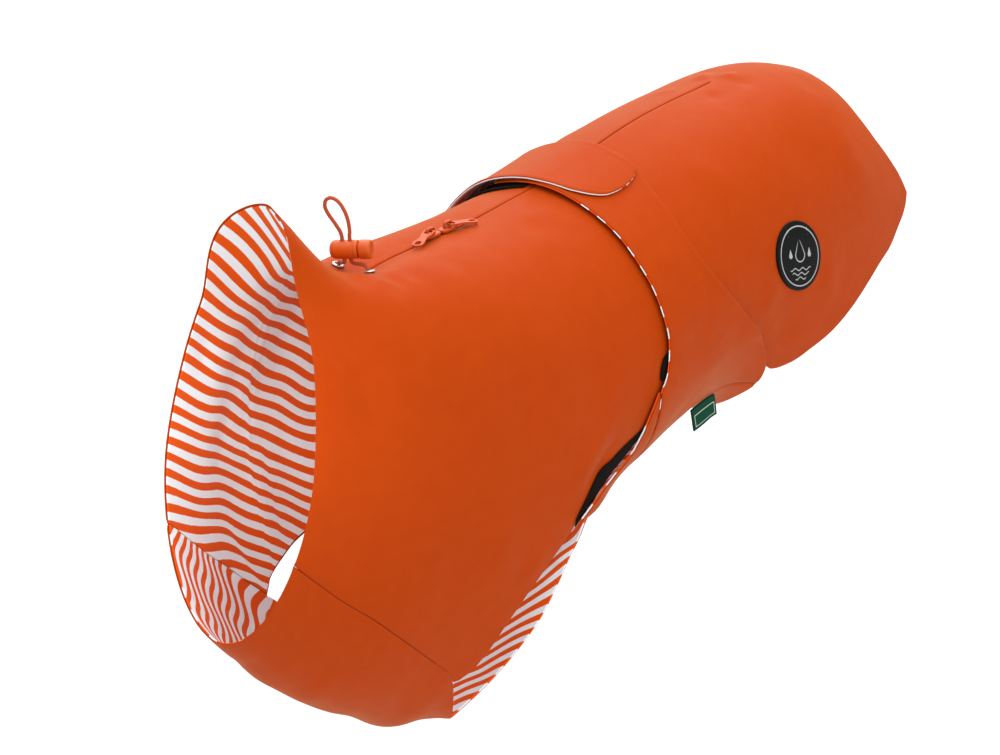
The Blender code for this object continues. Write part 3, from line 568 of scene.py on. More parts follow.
# ------------------------------------------------------------ chest panel and strip
# One panel closes the neck below and narrows to a strip between the forelegs, then flares to the
# belly band. Its lining is cut on the bias, so the stripes turn from across to slanting.
SEAM = .0013                                        # girth left free for the seam beside the panel
# edge_x  edge_y  edge_z  mid_y  mid_z
STRIP = np.array([
    (40, -190, -309, -196, -322), (29, -182, -322, -183, -326), (35, -168, -314, -169, -320),
    (41, -149, -303, -152, -310), (46, -127, -289, -133, -298), (51, -109, -273, -117, -284),
    (58, -97, -251, -104, -270), (67, -94, -231, -94, -256), (78, -96, -214, -85, -243),
    (91, -99, -191, -77, -231)], float)
# mid_station  edge_station  edge_girth
FLARE = np.array([(-46, -78, .624), (-44, -69.5, .641), (-42, -59.5, .662), (-39, -50, .664),
                  (-36, -43.5, .642), (-33, -37, .590), (-30.1, -30.1, .560)], float)
BAND_LIFT = 4.7                                     # mm that the belly band lies above the form
CHEST_ROWS = np.array([-266, -250, -234, -219, -209, -202, -195, -186, -165, -142], float)
ACROSS = np.array([0, .182, .364, .545, .72, .87, 1])
MIDDLE = len(ACROSS) - 1
ACROSS = np.concatenate([-ACROSS[:0:-1], ACROSS])


def round_belly(q):
    """Girth of a place q across the belly: 1 in the middle, less to the sides, - on the right."""
    return np.where(q < 0, -1, 1) * (1 - np.abs(q))


def chest_rows():
    """Coarse rows of the panel: on the form under the neck, the free strip, then on the lifted
    form where it flares; the strip is a parabola across."""
    q = ACROSS[None] * (1 - edge(CHEST_ROWS, SHELL_EDGE) - SEAM)[:, None]
    s = np.broadcast_to(CHEST_ROWS[:, None], q.shape)
    neck, neck_n = on_form(s, round_belly(q), 0)
    ex, ey, ez, my, mz = STRIP.T[:, :, None]
    rise = np.abs(ACROSS)[None] ** 2
    strip = np.stack([ACROSS[None] * ex, my + (ey - my) * rise, mz + (ez - mz) * rise], -1)
    mid, end, ge = FLARE.T[:, :, None]
    q = ACROSS[None] * (1 - ge)
    s = mid + (end - mid) * np.abs(ACROSS)[None] ** 2.5
    flare, flare_n = on_form(s, round_belly(q), BAND_LIFT)
    grid = np.concatenate([neck, strip, flare])
    n = np.cross(np.gradient(grid, axis=1), np.gradient(grid, axis=0))
    n /= np.linalg.norm(n, axis=-1, keepdims=True)
    n *= np.sign((n[len(neck) // 2, MIDDLE] * neck_n[len(neck) // 2, MIDDLE]).sum())
    n[:len(neck)], n[-len(flare):] = neck_n, flare_n
    first, last = len(neck), len(n) - len(flare)
    for _ in range(3):                              # even out the strip's normals
        n[first:last] = n[first - 1:last - 1] + 2 * n[first:last] + n[first + 1:last + 1]
        n /= np.linalg.norm(n, axis=-1, keepdims=True)
    return grid, n


def walk_of(path):
    """Length walked along a path of points up to each of them."""
    return np.concatenate([[0], np.cumsum(np.linalg.norm(np.diff(path, axis=0), axis=1))])


def refine(values, rows, cols):
    """Smooth finer grid through a coarse one: cubic along the panel by length, then across it."""
    flat = values.reshape(len(values), -1)
    fine = smooth_rows(rows, np.column_stack([chest_long, flat]))
    fine = fine.reshape(len(rows), *values.shape[1:])
    turned = np.moveaxis(fine, 1, 0).reshape(len(ACROSS), -1)
    out = smooth_rows(cols, np.column_stack([ACROSS, turned]))
    return np.moveaxis(out.reshape(len(cols), len(rows), *values.shape[2:]), 0, 1)


coarse, coarse_n = chest_rows()
chest_long = walk_of(coarse[:, MIDDLE])
chest_at = np.unique(np.concatenate([np.linspace(0, chest_long[-1], 130),
                                     chest_long[:len(CHEST_ROWS)]]))
chest_q = np.linspace(-1, 1, 61)
chest_p = refine(coarse, chest_at, chest_q)
chest_n = refine(coarse_n, chest_at, chest_q)
chest_n /= np.linalg.norm(chest_n, axis=-1, keepdims=True)
half_widths = np.linalg.norm(np.diff(coarse, axis=1), axis=-1).sum(1) / 2
wide_at = np.interp(chest_at, chest_long, half_widths)[:, None]
chest_x = chest_q[None] * wide_at
chest_y = np.broadcast_to(chest_at[:, None], chest_x.shape)
# mm along  across in shares of CHEST_WIDE  to mm along  across  half_width  height
CHEST_WIDE = 55
CHEST_FOLDS = [
    (40, -.9, 60, .2, 9, 1.2), (70, .9, 95, -.1, 9, 1.3), (110, -.6, 150, .3, 10, -1.2),
    (128, .8, 170, -.2, 9, 1.2), (176, -.8, 200, .4, 7, 1.1), (196, .9, 226, -.3, 7, -1.1),
    (214, -.7, 240, .5, 7, 1.0), (240, .9, 262, .1, 8, 1.2), (262, -.8, 286, .1, 8, -1.2),
    (20, .6, 36, -.5, 8, -.9)]
crumple = creases(chest_y, chest_x, CHEST_WIDE, CHEST_FOLDS)
side = (1 - np.abs(chest_q[None])) * wide_at
left_end, right_end = (chest_long[list(CHEST_ROWS).index(at)] for at in (LEFT_HOLE, RIGHT_HOLE))
sewn = chest_y < np.where(chest_q[None] > 0, left_end, right_end) + 1
dip = sewn_in(side) * sewn + sewn_in(chest_long[-1] - chest_y) + crumple * np.clip(side / 6, 0, 1)
thick = np.minimum(rim(chest_y, CLOTH, .8), np.where(sewn, CLOTH, rim(side, CLOTH, .8)))
chest_uv = np.stack([chest_x, chest_y], -1)
panel = cloth("chest_cloth", chest_p, chest_n, dip, dip + thick, chest_uv, ORANGE)
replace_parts(panel, "chest_panel")

# The stripes lie a little slanting across the panel at the collar and turn to run steeply along
# the strip. On the strip's free sides the lining stands out past the cloth by a hair.
# along the panel, mm  direction across the stripes, degrees
TURN = [(0, 107), (70, 104), (130, 116), (190, 140), (225, 136), (265, 124), (300, 116), (330, 112)]
turn = np.radians(edge(chest_at, TURN))
along = np.concatenate([[0], np.cumsum(np.diff(chest_at) * np.sin((turn[1:] + turn[:-1]) / 2))])
near_collar = np.clip((120 - chest_y) / 60, 0, 1)
stripe_wide = 9.6 - 1.0 * near_collar               # one white and one orange stripe, mm
chest_stripe = ((along[:, None] + np.abs(chest_x) * np.cos(turn)[:, None]) / stripe_wide
                + .12 * np.sin(chest_y * .07 + chest_x * .09)
                + (.10 + .25 * near_collar) * np.sin(chest_x * .15 - chest_y * .05))
ripple = .5 * np.abs(np.sin(chest_x * .09 + 2 * np.sin(chest_y * .03))) * np.clip(side / 9, 0, 1)
inner = dip - GAP - .2 - ripple
# close under the cloth at the collar and at the strip's free sides
at_rim = np.maximum(np.exp(-(chest_y / 4) ** 2), np.where(sewn, 0, np.exp(-(side / 3) ** 2)))
inner = inner + (-.06 - inner + dip) * at_rim
LINING_SHOWS = .6                                   # mm past the cloth
lining_p = chest_p.copy()
for col, inside, end in ((-1, -2, left_end), (0, 1, right_end)):
    out = chest_p[:, col] - chest_p[:, inside]
    out /= np.linalg.norm(out, axis=1, keepdims=True)
    lining_p[:, col] += LINING_SHOWS * out * (chest_at > end + 2)[:, None]
lining_p[0] += (lining_p[1] - lining_p[0]) * .35
chest_lining = cloth("chest_lining_cloth", lining_p, chest_n, inner - LINING, inner, chest_uv,
                     STRIPES, stripe=chest_stripe, roll=.3)
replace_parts(chest_lining, "chest_lining")

# ------------------------------------------------------------ belly band: wings and belly panel
# Two lined wings are sewn to the belly panel and wrap up the flanks over the shell. The right one
# goes over the back and ends in the rounded closing tab on top of the left one.
BAND_FRONT, WING_SEAM = -29.8, .76                  # station, girth of the seams at the belly
BELLY_HALF = 320.0                                  # mm in one unit of girth at the belly
# girth  station
LEFT_FRONT = [(-.11, -24), (0, -28), (.10, -26), (.20, -24), (.279, -23), (.443, -20.7),
              (.495, -21.7), (.524, -23.3), (.541, -25.5), (.560, BAND_FRONT), (1, BAND_FRONT)]
LEFT_REAR = [(-.11, 30), (.05, 34), (.13, 34), (.16, 30), (.21, 26), (.298, 24.5), (.362, 28),
             (.444, 41), (.526, 61), (.622, 90), (.716, 111), (.75, 113), (.82, 107), (1, 99)]
RIGHT_FRONT = [(-1, BAND_FRONT), (-.560, BAND_FRONT), (-.52, -27), (-.44, -25), (-.20, -28),
               (-.10, -29), (0, -28), (.05, -25), (.083, -23), (.107, -19), (.130, -13), (.147, -5),
               (.153, 4)]
RIGHT_REAR = [(-1, 99), (-.82, 107), (-.75, 113), (-.716, 111), (-.622, 90), (-.526, 61),
              (-.444, 41), (-.36, 31), (-.20, 32), (0, 33), (.10, 33), (.130, 31), (.143, 26),
              (.150, 20), (.153, 14)]


def band_grid(girths, front, rear, rows):
    """Grid between a front and a rear edge line, in shares of the width that crowd to the edges."""
    share = (1 - np.cos(np.linspace(0, math.pi, rows))) / 2
    share = .55 * share + .45 * np.linspace(0, 1, rows)
    a, b = edge(girths, front), edge(girths, rear)
    return a + (b - a) * share[:, None], np.broadcast_to(girths, (rows, len(girths))).copy()


def turned_edges(s, g, front, rear):
    """Both long edges are turned under: a low soft roll near the edge, and a shallow line of
    topstitching 5 mm in."""
    x = np.minimum(s - edge(g, front), edge(g, rear) - s)
    return .28 * np.exp(-((x - 2.2) / 1.8) ** 2) - .22 * np.exp(-((x - 5.2) / .8) ** 2)


belly_q = np.linspace(-1, 1, 45) * (1 - WING_SEAM - SEAM / 2)
belly_g = round_belly(belly_q)
share = np.linspace(0, 1, 50)[:, None]
belly_s = BAND_FRONT + (edge(np.abs(belly_g), LEFT_REAR) - BAND_FRONT) * share
belly_g = np.broadcast_to(belly_g, belly_s.shape)
belly_x = belly_q[None] * half_length(belly_s)
belly_uv = np.stack([belly_x, belly_s], -1)
base, normal = on_form(belly_s, belly_g, BAND_LIFT)
dip = sewn_in((1 - WING_SEAM - np.abs(belly_q)) * BELLY_HALF) + sewn_in(belly_s - BAND_FRONT)
belly = cloth("belly_cloth", base, normal, dip, dip + CLOTH, belly_uv, ORANGE)
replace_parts(belly, "belly_panel")
belly_lining = cloth("belly_lining_cloth", base, normal, dip - GAP - LINING, dip - GAP, belly_uv,
                     STRIPES, stripe=belly_s / STRIPE + np.abs(belly_x) / 40,
                     roll=.3)
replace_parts(belly_lining, "belly_lining")

left_g = np.unique(np.concatenate([np.linspace(-.11, WING_SEAM - SEAM / 2, 110), [.560]]))
left_s, left_gg = band_grid(left_g, LEFT_FRONT, LEFT_REAR, 34)


def stand_off(s, g, front, places):
    """The free front edge stands off the shell in low waves. places: girth, spread, height."""
    x = s - edge(g, front)
    out = np.zeros(s.shape)
    for at, wide, high in places:
        out += high * np.exp(-((g - at) / wide) ** 2)
    return out * np.exp(-(x / 9) ** 2)


def wing(side, s, g, lift, front, rear, rear_thin, stripe):
    """One wing and its lining: turned edges, the belly edge sewn in, both rims thinned, and the
    lining's front edge a hair in front of the cloth's. stripe gives the lining's stripe count from
    girth and from the distance to the front edge."""
    base, normal = on_form(s, g, lift)
    x = s - edge(g, front)
    dip = turned_edges(s, g, front, rear) + sewn_in((WING_SEAM - np.abs(g)) * BELLY_HALF)
    thick = np.minimum(rim(x, CLOTH, .75), rim(edge(g, rear) - s, CLOTH, rear_thin))
    outer = cloth(f"{side}_wing_cloth", base, normal, dip, dip + thick, cut_uv(s, g), ORANGE)
    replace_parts(outer, f"{side}_wing")
    lining_s = s.copy()
    lining_s[0] -= .4
    base, normal = on_form(lining_s, g, lift)
    top = dip - rim(x, GAP, .05)
    lined = cloth(f"{side}_wing_lining_cloth", base, normal, top - rim(x, LINING, .65), top,
                  cut_uv(s, g), STRIPES, stripe=stripe(g, x), roll=.25)
    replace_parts(lined, f"{side}_wing_lining")


def dashes(g, x):
    """Stripes that cross the front edge; up on the back the edge is one plain orange stripe."""
    return np.where(g < .122, 0, (g - .126) * half_length(-20) / 14.2 + .25) + x / 30


# girth  spread  height in mm of the waves in the front edge
LEFT_WAVES = [(.05, .05, .9), (.24, .05, .6), (.36, .05, .5), (.455, .03, .7), (.60, .05, .5)]
left_lift = BAND_LIFT + stand_off(left_s, left_gg, LEFT_FRONT, LEFT_WAVES)
wing("left", left_s, left_gg, left_lift, LEFT_FRONT, LEFT_REAR, .9,
     dashes)

TAB_LIFT = BAND_LIFT + CLOTH + .55 + LINING + GAP   # the tab lies on top of the left wing
RIGHT_WAVES = [(-.10, .08, 1.1), (.09, .04, .4), (-.30, .05, .5), (-.44, .05, .6)]
right_g = np.unique(np.concatenate([np.linspace(-WING_SEAM + SEAM / 2, .10, 110), [-.560],
                                    np.linspace(.10, .14, 12), np.linspace(.14, .153, 14)]))
right_s, right_gg = band_grid(right_g, RIGHT_FRONT, RIGHT_REAR, 34)
climb = np.clip((right_gg + .34) / .20, 0, 1)
right_lift = BAND_LIFT + (TAB_LIFT - BAND_LIFT) * climb**2 * (3 - 2 * climb)
right_lift = right_lift + stand_off(right_s, right_gg, RIGHT_FRONT, RIGHT_WAVES)
# the right lining's stripes run along the wing, a white one at the front edge
wing("right", right_s, right_gg, right_lift, RIGHT_FRONT, RIGHT_REAR, .8,
     lambda g, x: x / STRIPE + .42)

# ------------------------------------------------------------ hems and seams
# The shell's free edges are closed by a narrow turned hem that covers shell and lining. Sewn seams
# show as a dark valley with the two turned allowances meeting in it; the bar in it is orange cloth
# darkened to about half as painted shade.
def tube(name, path, normal, across, half_high, half_wide, mat, sides=10):
    """Rounded bar carried along a path, half_high along the normal and half_wide across it."""
    path, normal, across = (np.asarray(v, float) for v in (path, normal, across))
    w = np.linspace(0, 2 * math.pi, sides, endpoint=False)
    ring = (path[:, None] + normal[:, None] * (half_high * np.sin(w))[None, :, None]
            + across[:, None] * (half_wide * np.cos(w))[None, :, None])
    n = len(path)
    i, k = np.meshgrid(np.arange(n - 1), np.arange(sides), indexing="ij")
    j, l = i + 1, (k + 1) % sides
    faces = np.stack([i * sides + k, i * sides + l, j * sides + l, j * sides + k], -1)
    faces = faces.reshape(-1, 4)
    caps = [list(range(sides)), list(range((n - 1) * sides, n * sides))[::-1]]
    if np.cross(across[0], normal[0]) @ (path[1] - path[0]) < 0:
        faces = faces[:, ::-1]
    else:
        caps = [c[::-1] for c in caps]
    uv = np.stack([np.repeat(walk_of(path), sides), np.tile(w * half_wide, n)], -1)
    return finish_mesh(name, ring.reshape(-1, 3), faces.tolist() + caps, mat, uv,
                       smooth=None)


def edge_frame(points, normal, inner):
    """Direction across an edge, away from the inner points: square to the edge and the normal."""
    along = np.gradient(points, axis=0)
    out = np.cross(along, normal)
    out /= np.linalg.norm(out, axis=1, keepdims=True)
    return out * np.sign(((points - inner) * out).sum(1, keepdims=True))


# leg holes, flanks and rump: one hem from chest seam to chest seam round the rear
left_rows, right_rows = (shell_rows[shell_rows >= at] for at in (LEFT_HOLE, RIGHT_HOLE))
hem_s = np.concatenate([left_rows[:-1], shell_s[-1][::-1], right_rows[:-1][::-1]])
hem_g = np.concatenate([shell_edge(left_rows, 1)[:-1], shell_g[-1][::-1],
                        -shell_edge(right_rows, -1)[:-1][::-1]])
over_rump = np.abs(hem_g) < .36
p, n = on_form(hem_s, hem_g, 0)
inner, _ = on_form(hem_s - np.where(over_rump, 6, 0),
                   hem_g - np.sign(hem_g) * np.where(over_rump, 0, .015), 0)
tube("rear_hem", p - n * .2, n, edge_frame(p, n, inner), 1.3, .6, ORANGE)

# the seam bars are the orange cloth darkened to about half: painted shade of the seam's valley
SEAM_SHADE_CLOTH = rain_cloth("seam_cloth_painted_shade", (.20, .016, .002), (.17, .013, .001))


def seam(name, s, g, lift, sunk, wide):
    """Bar of cloth in a seam, darkened as painted shade, at stations s and girths g: mm it is sunk,
    half its width.
    """
    p, n = on_form(s, g, lift)
    beside = edge_frame(p, n, p + np.cross(n, np.gradient(p, axis=0)))
    tube(name, p - n * sunk, n, beside, .9, wide, SEAM_SHADE_CLOTH)


for name, side_of, end in (("left", 1, LEFT_HOLE), ("right", -1, RIGHT_HOLE)):
    rows = shell_rows[(shell_rows <= end) & (shell_rows > COLLAR + 2)]
    seam(f"chest_seam_{name}", rows, side_of * (edge(rows, SHELL_EDGE) + SEAM / 2), 0, .35, .7)
for name, side_of in (("left", 1), ("right", -1)):
    rows = belly_s[:, 0]
    seam(f"belly_seam_{name}", rows, np.full(len(rows), side_of * WING_SEAM), BAND_LIFT, .25, .8)
p, n = chest_p[-1], chest_n[-1]
tube("band_front_seam", p - n * .25, n, edge_frame(p, n, chest_p[-2]), .9, .7, SEAM_SHADE_CLOTH)

# ------------------------------------------------------------ fastening tapes and painted shade
# Black loop tape, sewn flat on the shell under the wings: it shows in front of their edges, and in
# front of the closing tab on the back. Its near-black also paints the deep shade in the gaps under
# those edges and in the leg holes: these pieces are partly tape, partly painted shade.
TAPE_LIFT = 1.8                                     # mm above the form


def tape_painted_shade_material(name, deep, colour):
    """Loop tape: a short tangled nap that drinks the light. Its near-black also stands for deep
    shade where it shows in gaps: partly tape, partly painted shade.
    """
    m, tree, surface = new_material(name)
    place = add(tree, "TexCoord", {}).outputs["Object"]
    nap = add(tree, "TexNoise", {"Scale": 1400, "Detail": 6, "Vector": place}).outputs["Fac"]
    bump = add(tree, "Bump", {"Strength": .9, "Distance": .0006, "Height": nap})
    feed(tree, surface, {"Base Color": mixed(tree, nap, deep, colour),
                         "Normal": bump.outputs["Normal"],
                         "Roughness": .95, "Specular IOR Level": .04})
    return m


TAPE_AND_SHADE_BLACK = tape_painted_shade_material("black_tape_and_painted_shade", (.002, .0015, .0015), (.014, .010, .010))


def tape_and_shade_patch(name, s, g):
    """Flat piece of black tape, partly painted shade, on a grid of stations and girths."""
    base, normal = on_form(s, g, TAPE_LIFT)
    return cloth(name, base, normal, 0, LINING, cut_uv(s, g), TAPE_AND_SHADE_BLACK)


# the back tape: partly tape, partly painted shade under the closing tab's lifted front edge
# girth  station
BACK_TAPE_SHADE_FRONT = [(-.17, -35), (-.10, -35), (-.012, -31)]
BACK_TAPE_SHADE_REAR = [(-.17, 20), (-.012, 20)]
back_s, back_g = band_grid(np.linspace(-.17, -.012, 24), BACK_TAPE_SHADE_FRONT, BACK_TAPE_SHADE_REAR, 20)
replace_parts(tape_and_shade_patch("back_tape_and_painted_shade", back_s, back_g), "back_tape")
# the leg tapes: partly tape, partly painted shade deep in the leg holes
# station  upper girth  lower girth
LEG_TAPE_AND_SHADE = np.array([(-91, .597, .628), (-86, .589, .630), (-76, .584, .630), (-66, .606, .643),
                     (-55, .619, .655), (-43, .624, .643), (-29, .610, .630), (-14, .592, .616)])
rows = np.linspace(-91, -14, 50)
upper, lower = smooth_rows(rows, LEG_TAPE_AND_SHADE).T
lower = np.minimum(lower, edge(rows, SHELL_EDGE) - .003)        # on the shell, clear of its hem
share = np.linspace(0, 1, 9)[None]
FLANK_TAPE_AND_SHADE, FLANK_HALF = .517, .025                 # girth of its middle, half its width in girth
for name, side_of in (("left", 1), ("right", -1)):
    way = slice(None, None, side_of)                # the faces of a mirrored grid point outwards
    g = side_of * (upper[:, None] + (lower - upper)[:, None] * share)
    s = np.broadcast_to(rows[:, None], g.shape)
    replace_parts(tape_and_shade_patch(f"{name}_leg_tape_and_painted_shade", s[:, way], g[:, way]), f"{name}_tape")
    # a short rounded tape half under the wing's front edge, above the leg hole: partly tape, partly
    # painted shade of the gap under that edge
    v = np.linspace(-1, 1, 17)
    g = side_of * (FLANK_TAPE_AND_SHADE + FLANK_HALF * v[None] * np.ones((17, 1)))
    front = edge(np.abs(g), LEFT_FRONT) if side_of > 0 else edge(g, RIGHT_FRONT)
    s = front + (v[:, None] + 1) * 5 - 4.6 * np.sqrt(1 - .98 * v[None] ** 2) * (1 - v[:, None]) / 2
    tape_and_shade_patch(f"{name}_flank_tape_and_painted_shade", s[:, way], g[:, way])

# ------------------------------------------------------------ zip
# A long coil zip, closed, sunk between the shell's two slit edges: two rows of nylon teeth.
def plain(name, colour, rough, metal=0.0, grain=600.0, depth=.00003, vary=.12, **sockets):
    """One material with a fine grain in its colour and surface, on Object coordinates."""
    m, tree, surface = new_material(name)
    place = add(tree, "TexCoord", {}).outputs["Object"]
    noise = add(tree, "TexNoise", {"Scale": grain, "Detail": 5, "Vector": place}).outputs["Fac"]
    bump = add(tree, "Bump", {"Strength": .5, "Distance": depth, "Height": noise})
    span = add(tree, "MapRange", {"To Min": rough - .07, "To Max": rough + .07, "Value": noise})
    deep = tuple(c * (1 - vary) for c in colour)
    feed(tree, surface, {"Base Color": mixed(tree, noise, deep, colour),
                         "Normal": bump.outputs["Normal"],
                         "Roughness": span.outputs[0], "Metallic": metal,
                         **{socket.replace("_", " "): value for socket, value in sockets.items()}})
    return m


def face_out(piece):
    """Turns all faces of a closed piece outwards."""
    closed = bmesh.new()
    closed.from_mesh(piece.data)
    bmesh.ops.recalc_face_normals(closed, faces=closed.faces)
    closed.to_mesh(piece.data)
    closed.free()


NYLON = plain("zip_nylon", (.20, .030, .010), .5)
PITCH, ZIP_SUNK = 1.7, .35                          # mm from tooth to tooth, mm below the form
steps = np.arange(ZIP_FRONT + 1.5, ZIP_REAR - 1.5, PITCH)
p, n = on_form(steps, np.zeros(len(steps)), -ZIP_SUNK)
along = np.gradient(p, axis=0)
along /= np.linalg.norm(along, axis=1, keepdims=True)
across = np.cross(along, n)
# across  along  up of a tooth's eight corners, mm
corner = np.array([(x, y, z) for x in (-.15, 1.5) for y in (-.42, .42) for z in (-.5, .5)])
quads = np.array([(0, 1, 3, 2), (4, 6, 7, 5), (0, 4, 5, 1), (2, 3, 7, 6), (0, 2, 6, 4),
                  (1, 5, 7, 3)])
teeth, faces = [], []
for row, (side_of, shift) in enumerate(((1, 0.0), (-1, PITCH / 2))):
    c = corner * (side_of, 1, 1) + (0, shift, 0)
    row_teeth = (p[:, None] + across[:, None] * c[None, :, :1] + along[:, None] * c[None, :, 1:2]
                 + n[:, None] * c[None, :, 2:])
    teeth.append(row_teeth.reshape(-1, 3))
    start = (row * len(p) + np.arange(len(p))) * len(corner)
    faces.append((start[:, None, None] + quads[None, :, ::side_of]).reshape(-1, 4))
coil = finish_mesh("zip_teeth", np.concatenate(teeth), np.concatenate(faces), NYLON, smooth=30)
face_out(coil)
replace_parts(coil, "zip_chain")

# ------------------------------------------------------------ sliders and pull tabs
# Two cast sliders, head to head, painted in the cloth's orange. Each has an arch bridge, and a
# flat pull tab with a window round the bridge and a hole near its free end.
PAINT = plain("painted_metal_orange", (.48, .060, .003), .42, grain=900, Coat_Weight=.03,
              Coat_Roughness=.3, Specular_IOR_Level=.15)
# name  station  way its pull lies along Y  yaw of the pull in degrees
SLIDERS = [("front", -127.5, -1, 16), ("rear", -111, 1, 18)]
PIN_UP, ARCH_HIGH = 1.9, 4.6                        # mm from the arch's foot to the pin, to its top
PULL_FROM, PULL_TO, PULL_THICK, PULL_PITCH = -.7, 22.0, 1.4, math.radians(8)
# mm along from the pin  half width
PULL_SHAPE = [(PULL_FROM, 3.6), (.7, 3.9), (5.2, 3.9), (6.8, 3.4), (10.5, 2.7), (14.5, 3.3),
              (17.5, 3.9), (20.4, 3.5), (PULL_TO, 2.0)]
PULL_WINDOWS = ((.7, 5.2, 2.6), (15.6, 20.6, 2.0))  # from  to  half width


def squircle(power, count):
    """Unit outline |x|^power + |y|^power = 1, as two rows of numbers."""
    w = np.linspace(0, 2 * math.pi, count, endpoint=False)
    return (np.sign(v) * np.abs(v) ** (2 / power) for v in (np.cos(w), np.sin(w)))


def lens(name, centre, half, high, power, profile, mat):
    """Flat rounded body: rings of one superellipse, each shrunk by its inset in mm and raised by
    its share of high, as the profile says."""
    sides = 40
    cx, cy = squircle(power, sides)
    rings = [np.stack([cx * (half[0] - i), cy * (half[1] - i), np.full(sides, z * high)], -1)
             for i, z in profile]
    poles = np.array([(0, 0, profile[0][1] * high), (0, 0, profile[-1][1] * high)])
    verts = np.concatenate(rings + [poles]) + centre
    m, k = len(rings), np.arange(sides)
    l = (k + 1) % sides
    faces = [np.stack([r * sides + k, r * sides + l, (r + 1) * sides + l, (r + 1) * sides + k], -1)
             for r in range(m - 1)]
    faces = np.concatenate(faces).tolist() + [[m * sides, b, a] for a, b in zip(k, l)]
    faces += [[m * sides + 1, (m - 1) * sides + a, (m - 1) * sides + b] for a, b in zip(k, l)]
    return finish_mesh(name, verts, faces, mat, smooth=45)


def carved(piece, cutters):
    """Takes the cutters out of a piece and keeps the result as its mesh."""
    for cutter in cutters:
        m = piece.modifiers.new("cut", "BOOLEAN")
        m.operation, m.solver, m.object = "DIFFERENCE", "EXACT", cutter
    bpy.context.view_layer.update()
    result = piece.evaluated_get(bpy.context.evaluated_depsgraph_get())
    piece.data = bpy.data.meshes.new_from_object(result)
    piece.modifiers.clear()
    for cutter in cutters:
        bpy.data.objects.remove(cutter, do_unlink=True)
    piece.data.shade_smooth()
    piece.data.set_sharp_from_angle(angle=math.radians(40))


def prism(outline, low, high, place):
    """Points and faces of a closed plate: a flat outline (n, 2) between two heights, put in its
    place by a function of points."""
    k = len(outline)
    flat = np.concatenate([np.column_stack([outline, np.full(k, z)]) for z in (low, high)])
    i = np.arange(k)
    j = (i + 1) % k
    faces = np.stack([i, j, j + k, i + k], -1).tolist()
    faces += [list(range(k))[::-1], list(range(k, 2 * k))]
    after = np.roll(outline, -1, axis=0)
    if (outline[:, 0] * after[:, 1] - outline[:, 1] * after[:, 0]).sum() < 0:
        faces = [f[::-1] for f in faces]
    return place(flat), faces


def oval(x0, x1, half):
    """Rounded window from x0 to x1, half wide."""
    cx, cy = squircle(3.0, 28)
    return np.column_stack([(x0 + x1) / 2 + (x1 - x0) / 2 * cx, half * cy])


def soften(piece, wide):
    """Small rounding, wide mm, on a piece's sharp edges."""
    soft = piece.modifiers.new("soft_edges", "BEVEL")
    soft.width, soft.segments = wide * MM, 2
    soft.limit_method, soft.angle_limit = "ANGLE", math.radians(50)


for name, station, way, yaw in SLIDERS:
    low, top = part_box(f"zip_slider_{name}")
    foot = read(POINTS, np.array([float(station)]), np.array([0.0]))[0]
    low_z, arch_z = low.z / MM, top.z / MM - ARCH_HIGH
    plate = lens(f"slider_plate_{name}", (0, foot[1] - way * .5, low_z + 1.2), (4.0, 7.0), 1.2, 3.2,
                 [(1.3, -1), (.35, -.85), (0, -.45), (0, .35), (.3, .8), (1.2, 1)], PAINT)
    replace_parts(plate, f"zip_slider_{name}")
    w = np.linspace(0, math.pi, 25)
    path = np.column_stack([np.zeros(25), 3.25 * np.sign(np.cos(w)) * np.abs(np.cos(w)) ** .5,
                            3.95 * np.sin(w) ** .55 - .3]) + (0, foot[1], arch_z)
    along = np.gradient(path, axis=0)
    along /= np.linalg.norm(along, axis=1, keepdims=True)
    x_axis = np.broadcast_to([1.0, 0, 0], along.shape)
    tube(f"slider_bridge_{name}", path, np.cross(along, x_axis), x_axis, .72, 1.3, PAINT, sides=14)
    pin = np.array([0, foot[1], arch_z + PIN_UP])
    ahead = np.array([math.sin(math.radians(yaw)), way * math.cos(math.radians(yaw)), 0.0])
    beside = np.array([ahead[1], -ahead[0], 0.0])
    down = ahead * math.cos(PULL_PITCH) + np.array([0, 0, -math.sin(PULL_PITCH)])
    rise = np.cross(beside, down)
    rise = rise * np.sign(rise[2])
    flip = np.sign(np.cross(down, beside) @ rise)
    placed = lambda f: pin + f[:, :1] * down + f[:, 1:2] * beside * flip + f[:, 2:] * rise
    a = np.linspace(PULL_FROM, PULL_TO, 60)
    half = edge(a, PULL_SHAPE)
    half = half * np.sqrt(np.clip(1 - ((a - 19.2) / 2.8).clip(0) ** 2.2, 0, 1)) + .001
    half = half * np.sqrt(np.clip(1 - ((.9 - a) / 1.6).clip(0) ** 2.6, .0, 1))
    outline = np.concatenate([np.column_stack([a, half]), np.column_stack([a, -half])[::-1]])
    verts, faces = prism(outline, -PULL_THICK / 2, PULL_THICK / 2, placed)
    pull = finish_mesh(f"pull_tab_{name}", verts, faces, PAINT, body=f"pull_{name}",
                       smooth=40)
    cutters = []
    for x0, x1, wide in PULL_WINDOWS:
        verts, faces = prism(oval(x0, x1, wide), -2, 2, placed)
        cutters.append(finish_mesh("window_cutter", verts, faces, PAINT, body=f"pull_{name}"))
    carved(pull, cutters)
    soften(pull, .3)
    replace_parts(pull, f"zip_pull_{name}")

# ------------------------------------------------------------ eyelets and drawcord
# Two pressed metal eyelets in the neck channel. A thin braided cord comes out of each, goes up
# through the cord lock and makes one loop above it.
SILVER = plain("eyelet_silver", (.56, .55, .53), .36, metal=1.0, grain=1500, vary=.05)
EYELET_STATION, EYELET_GIRTH = -199.0, .0385
EYELET_LIFT, MOUTH_LIFT = 2.3, 1.75                 # mm above the form: rim, end of the cord
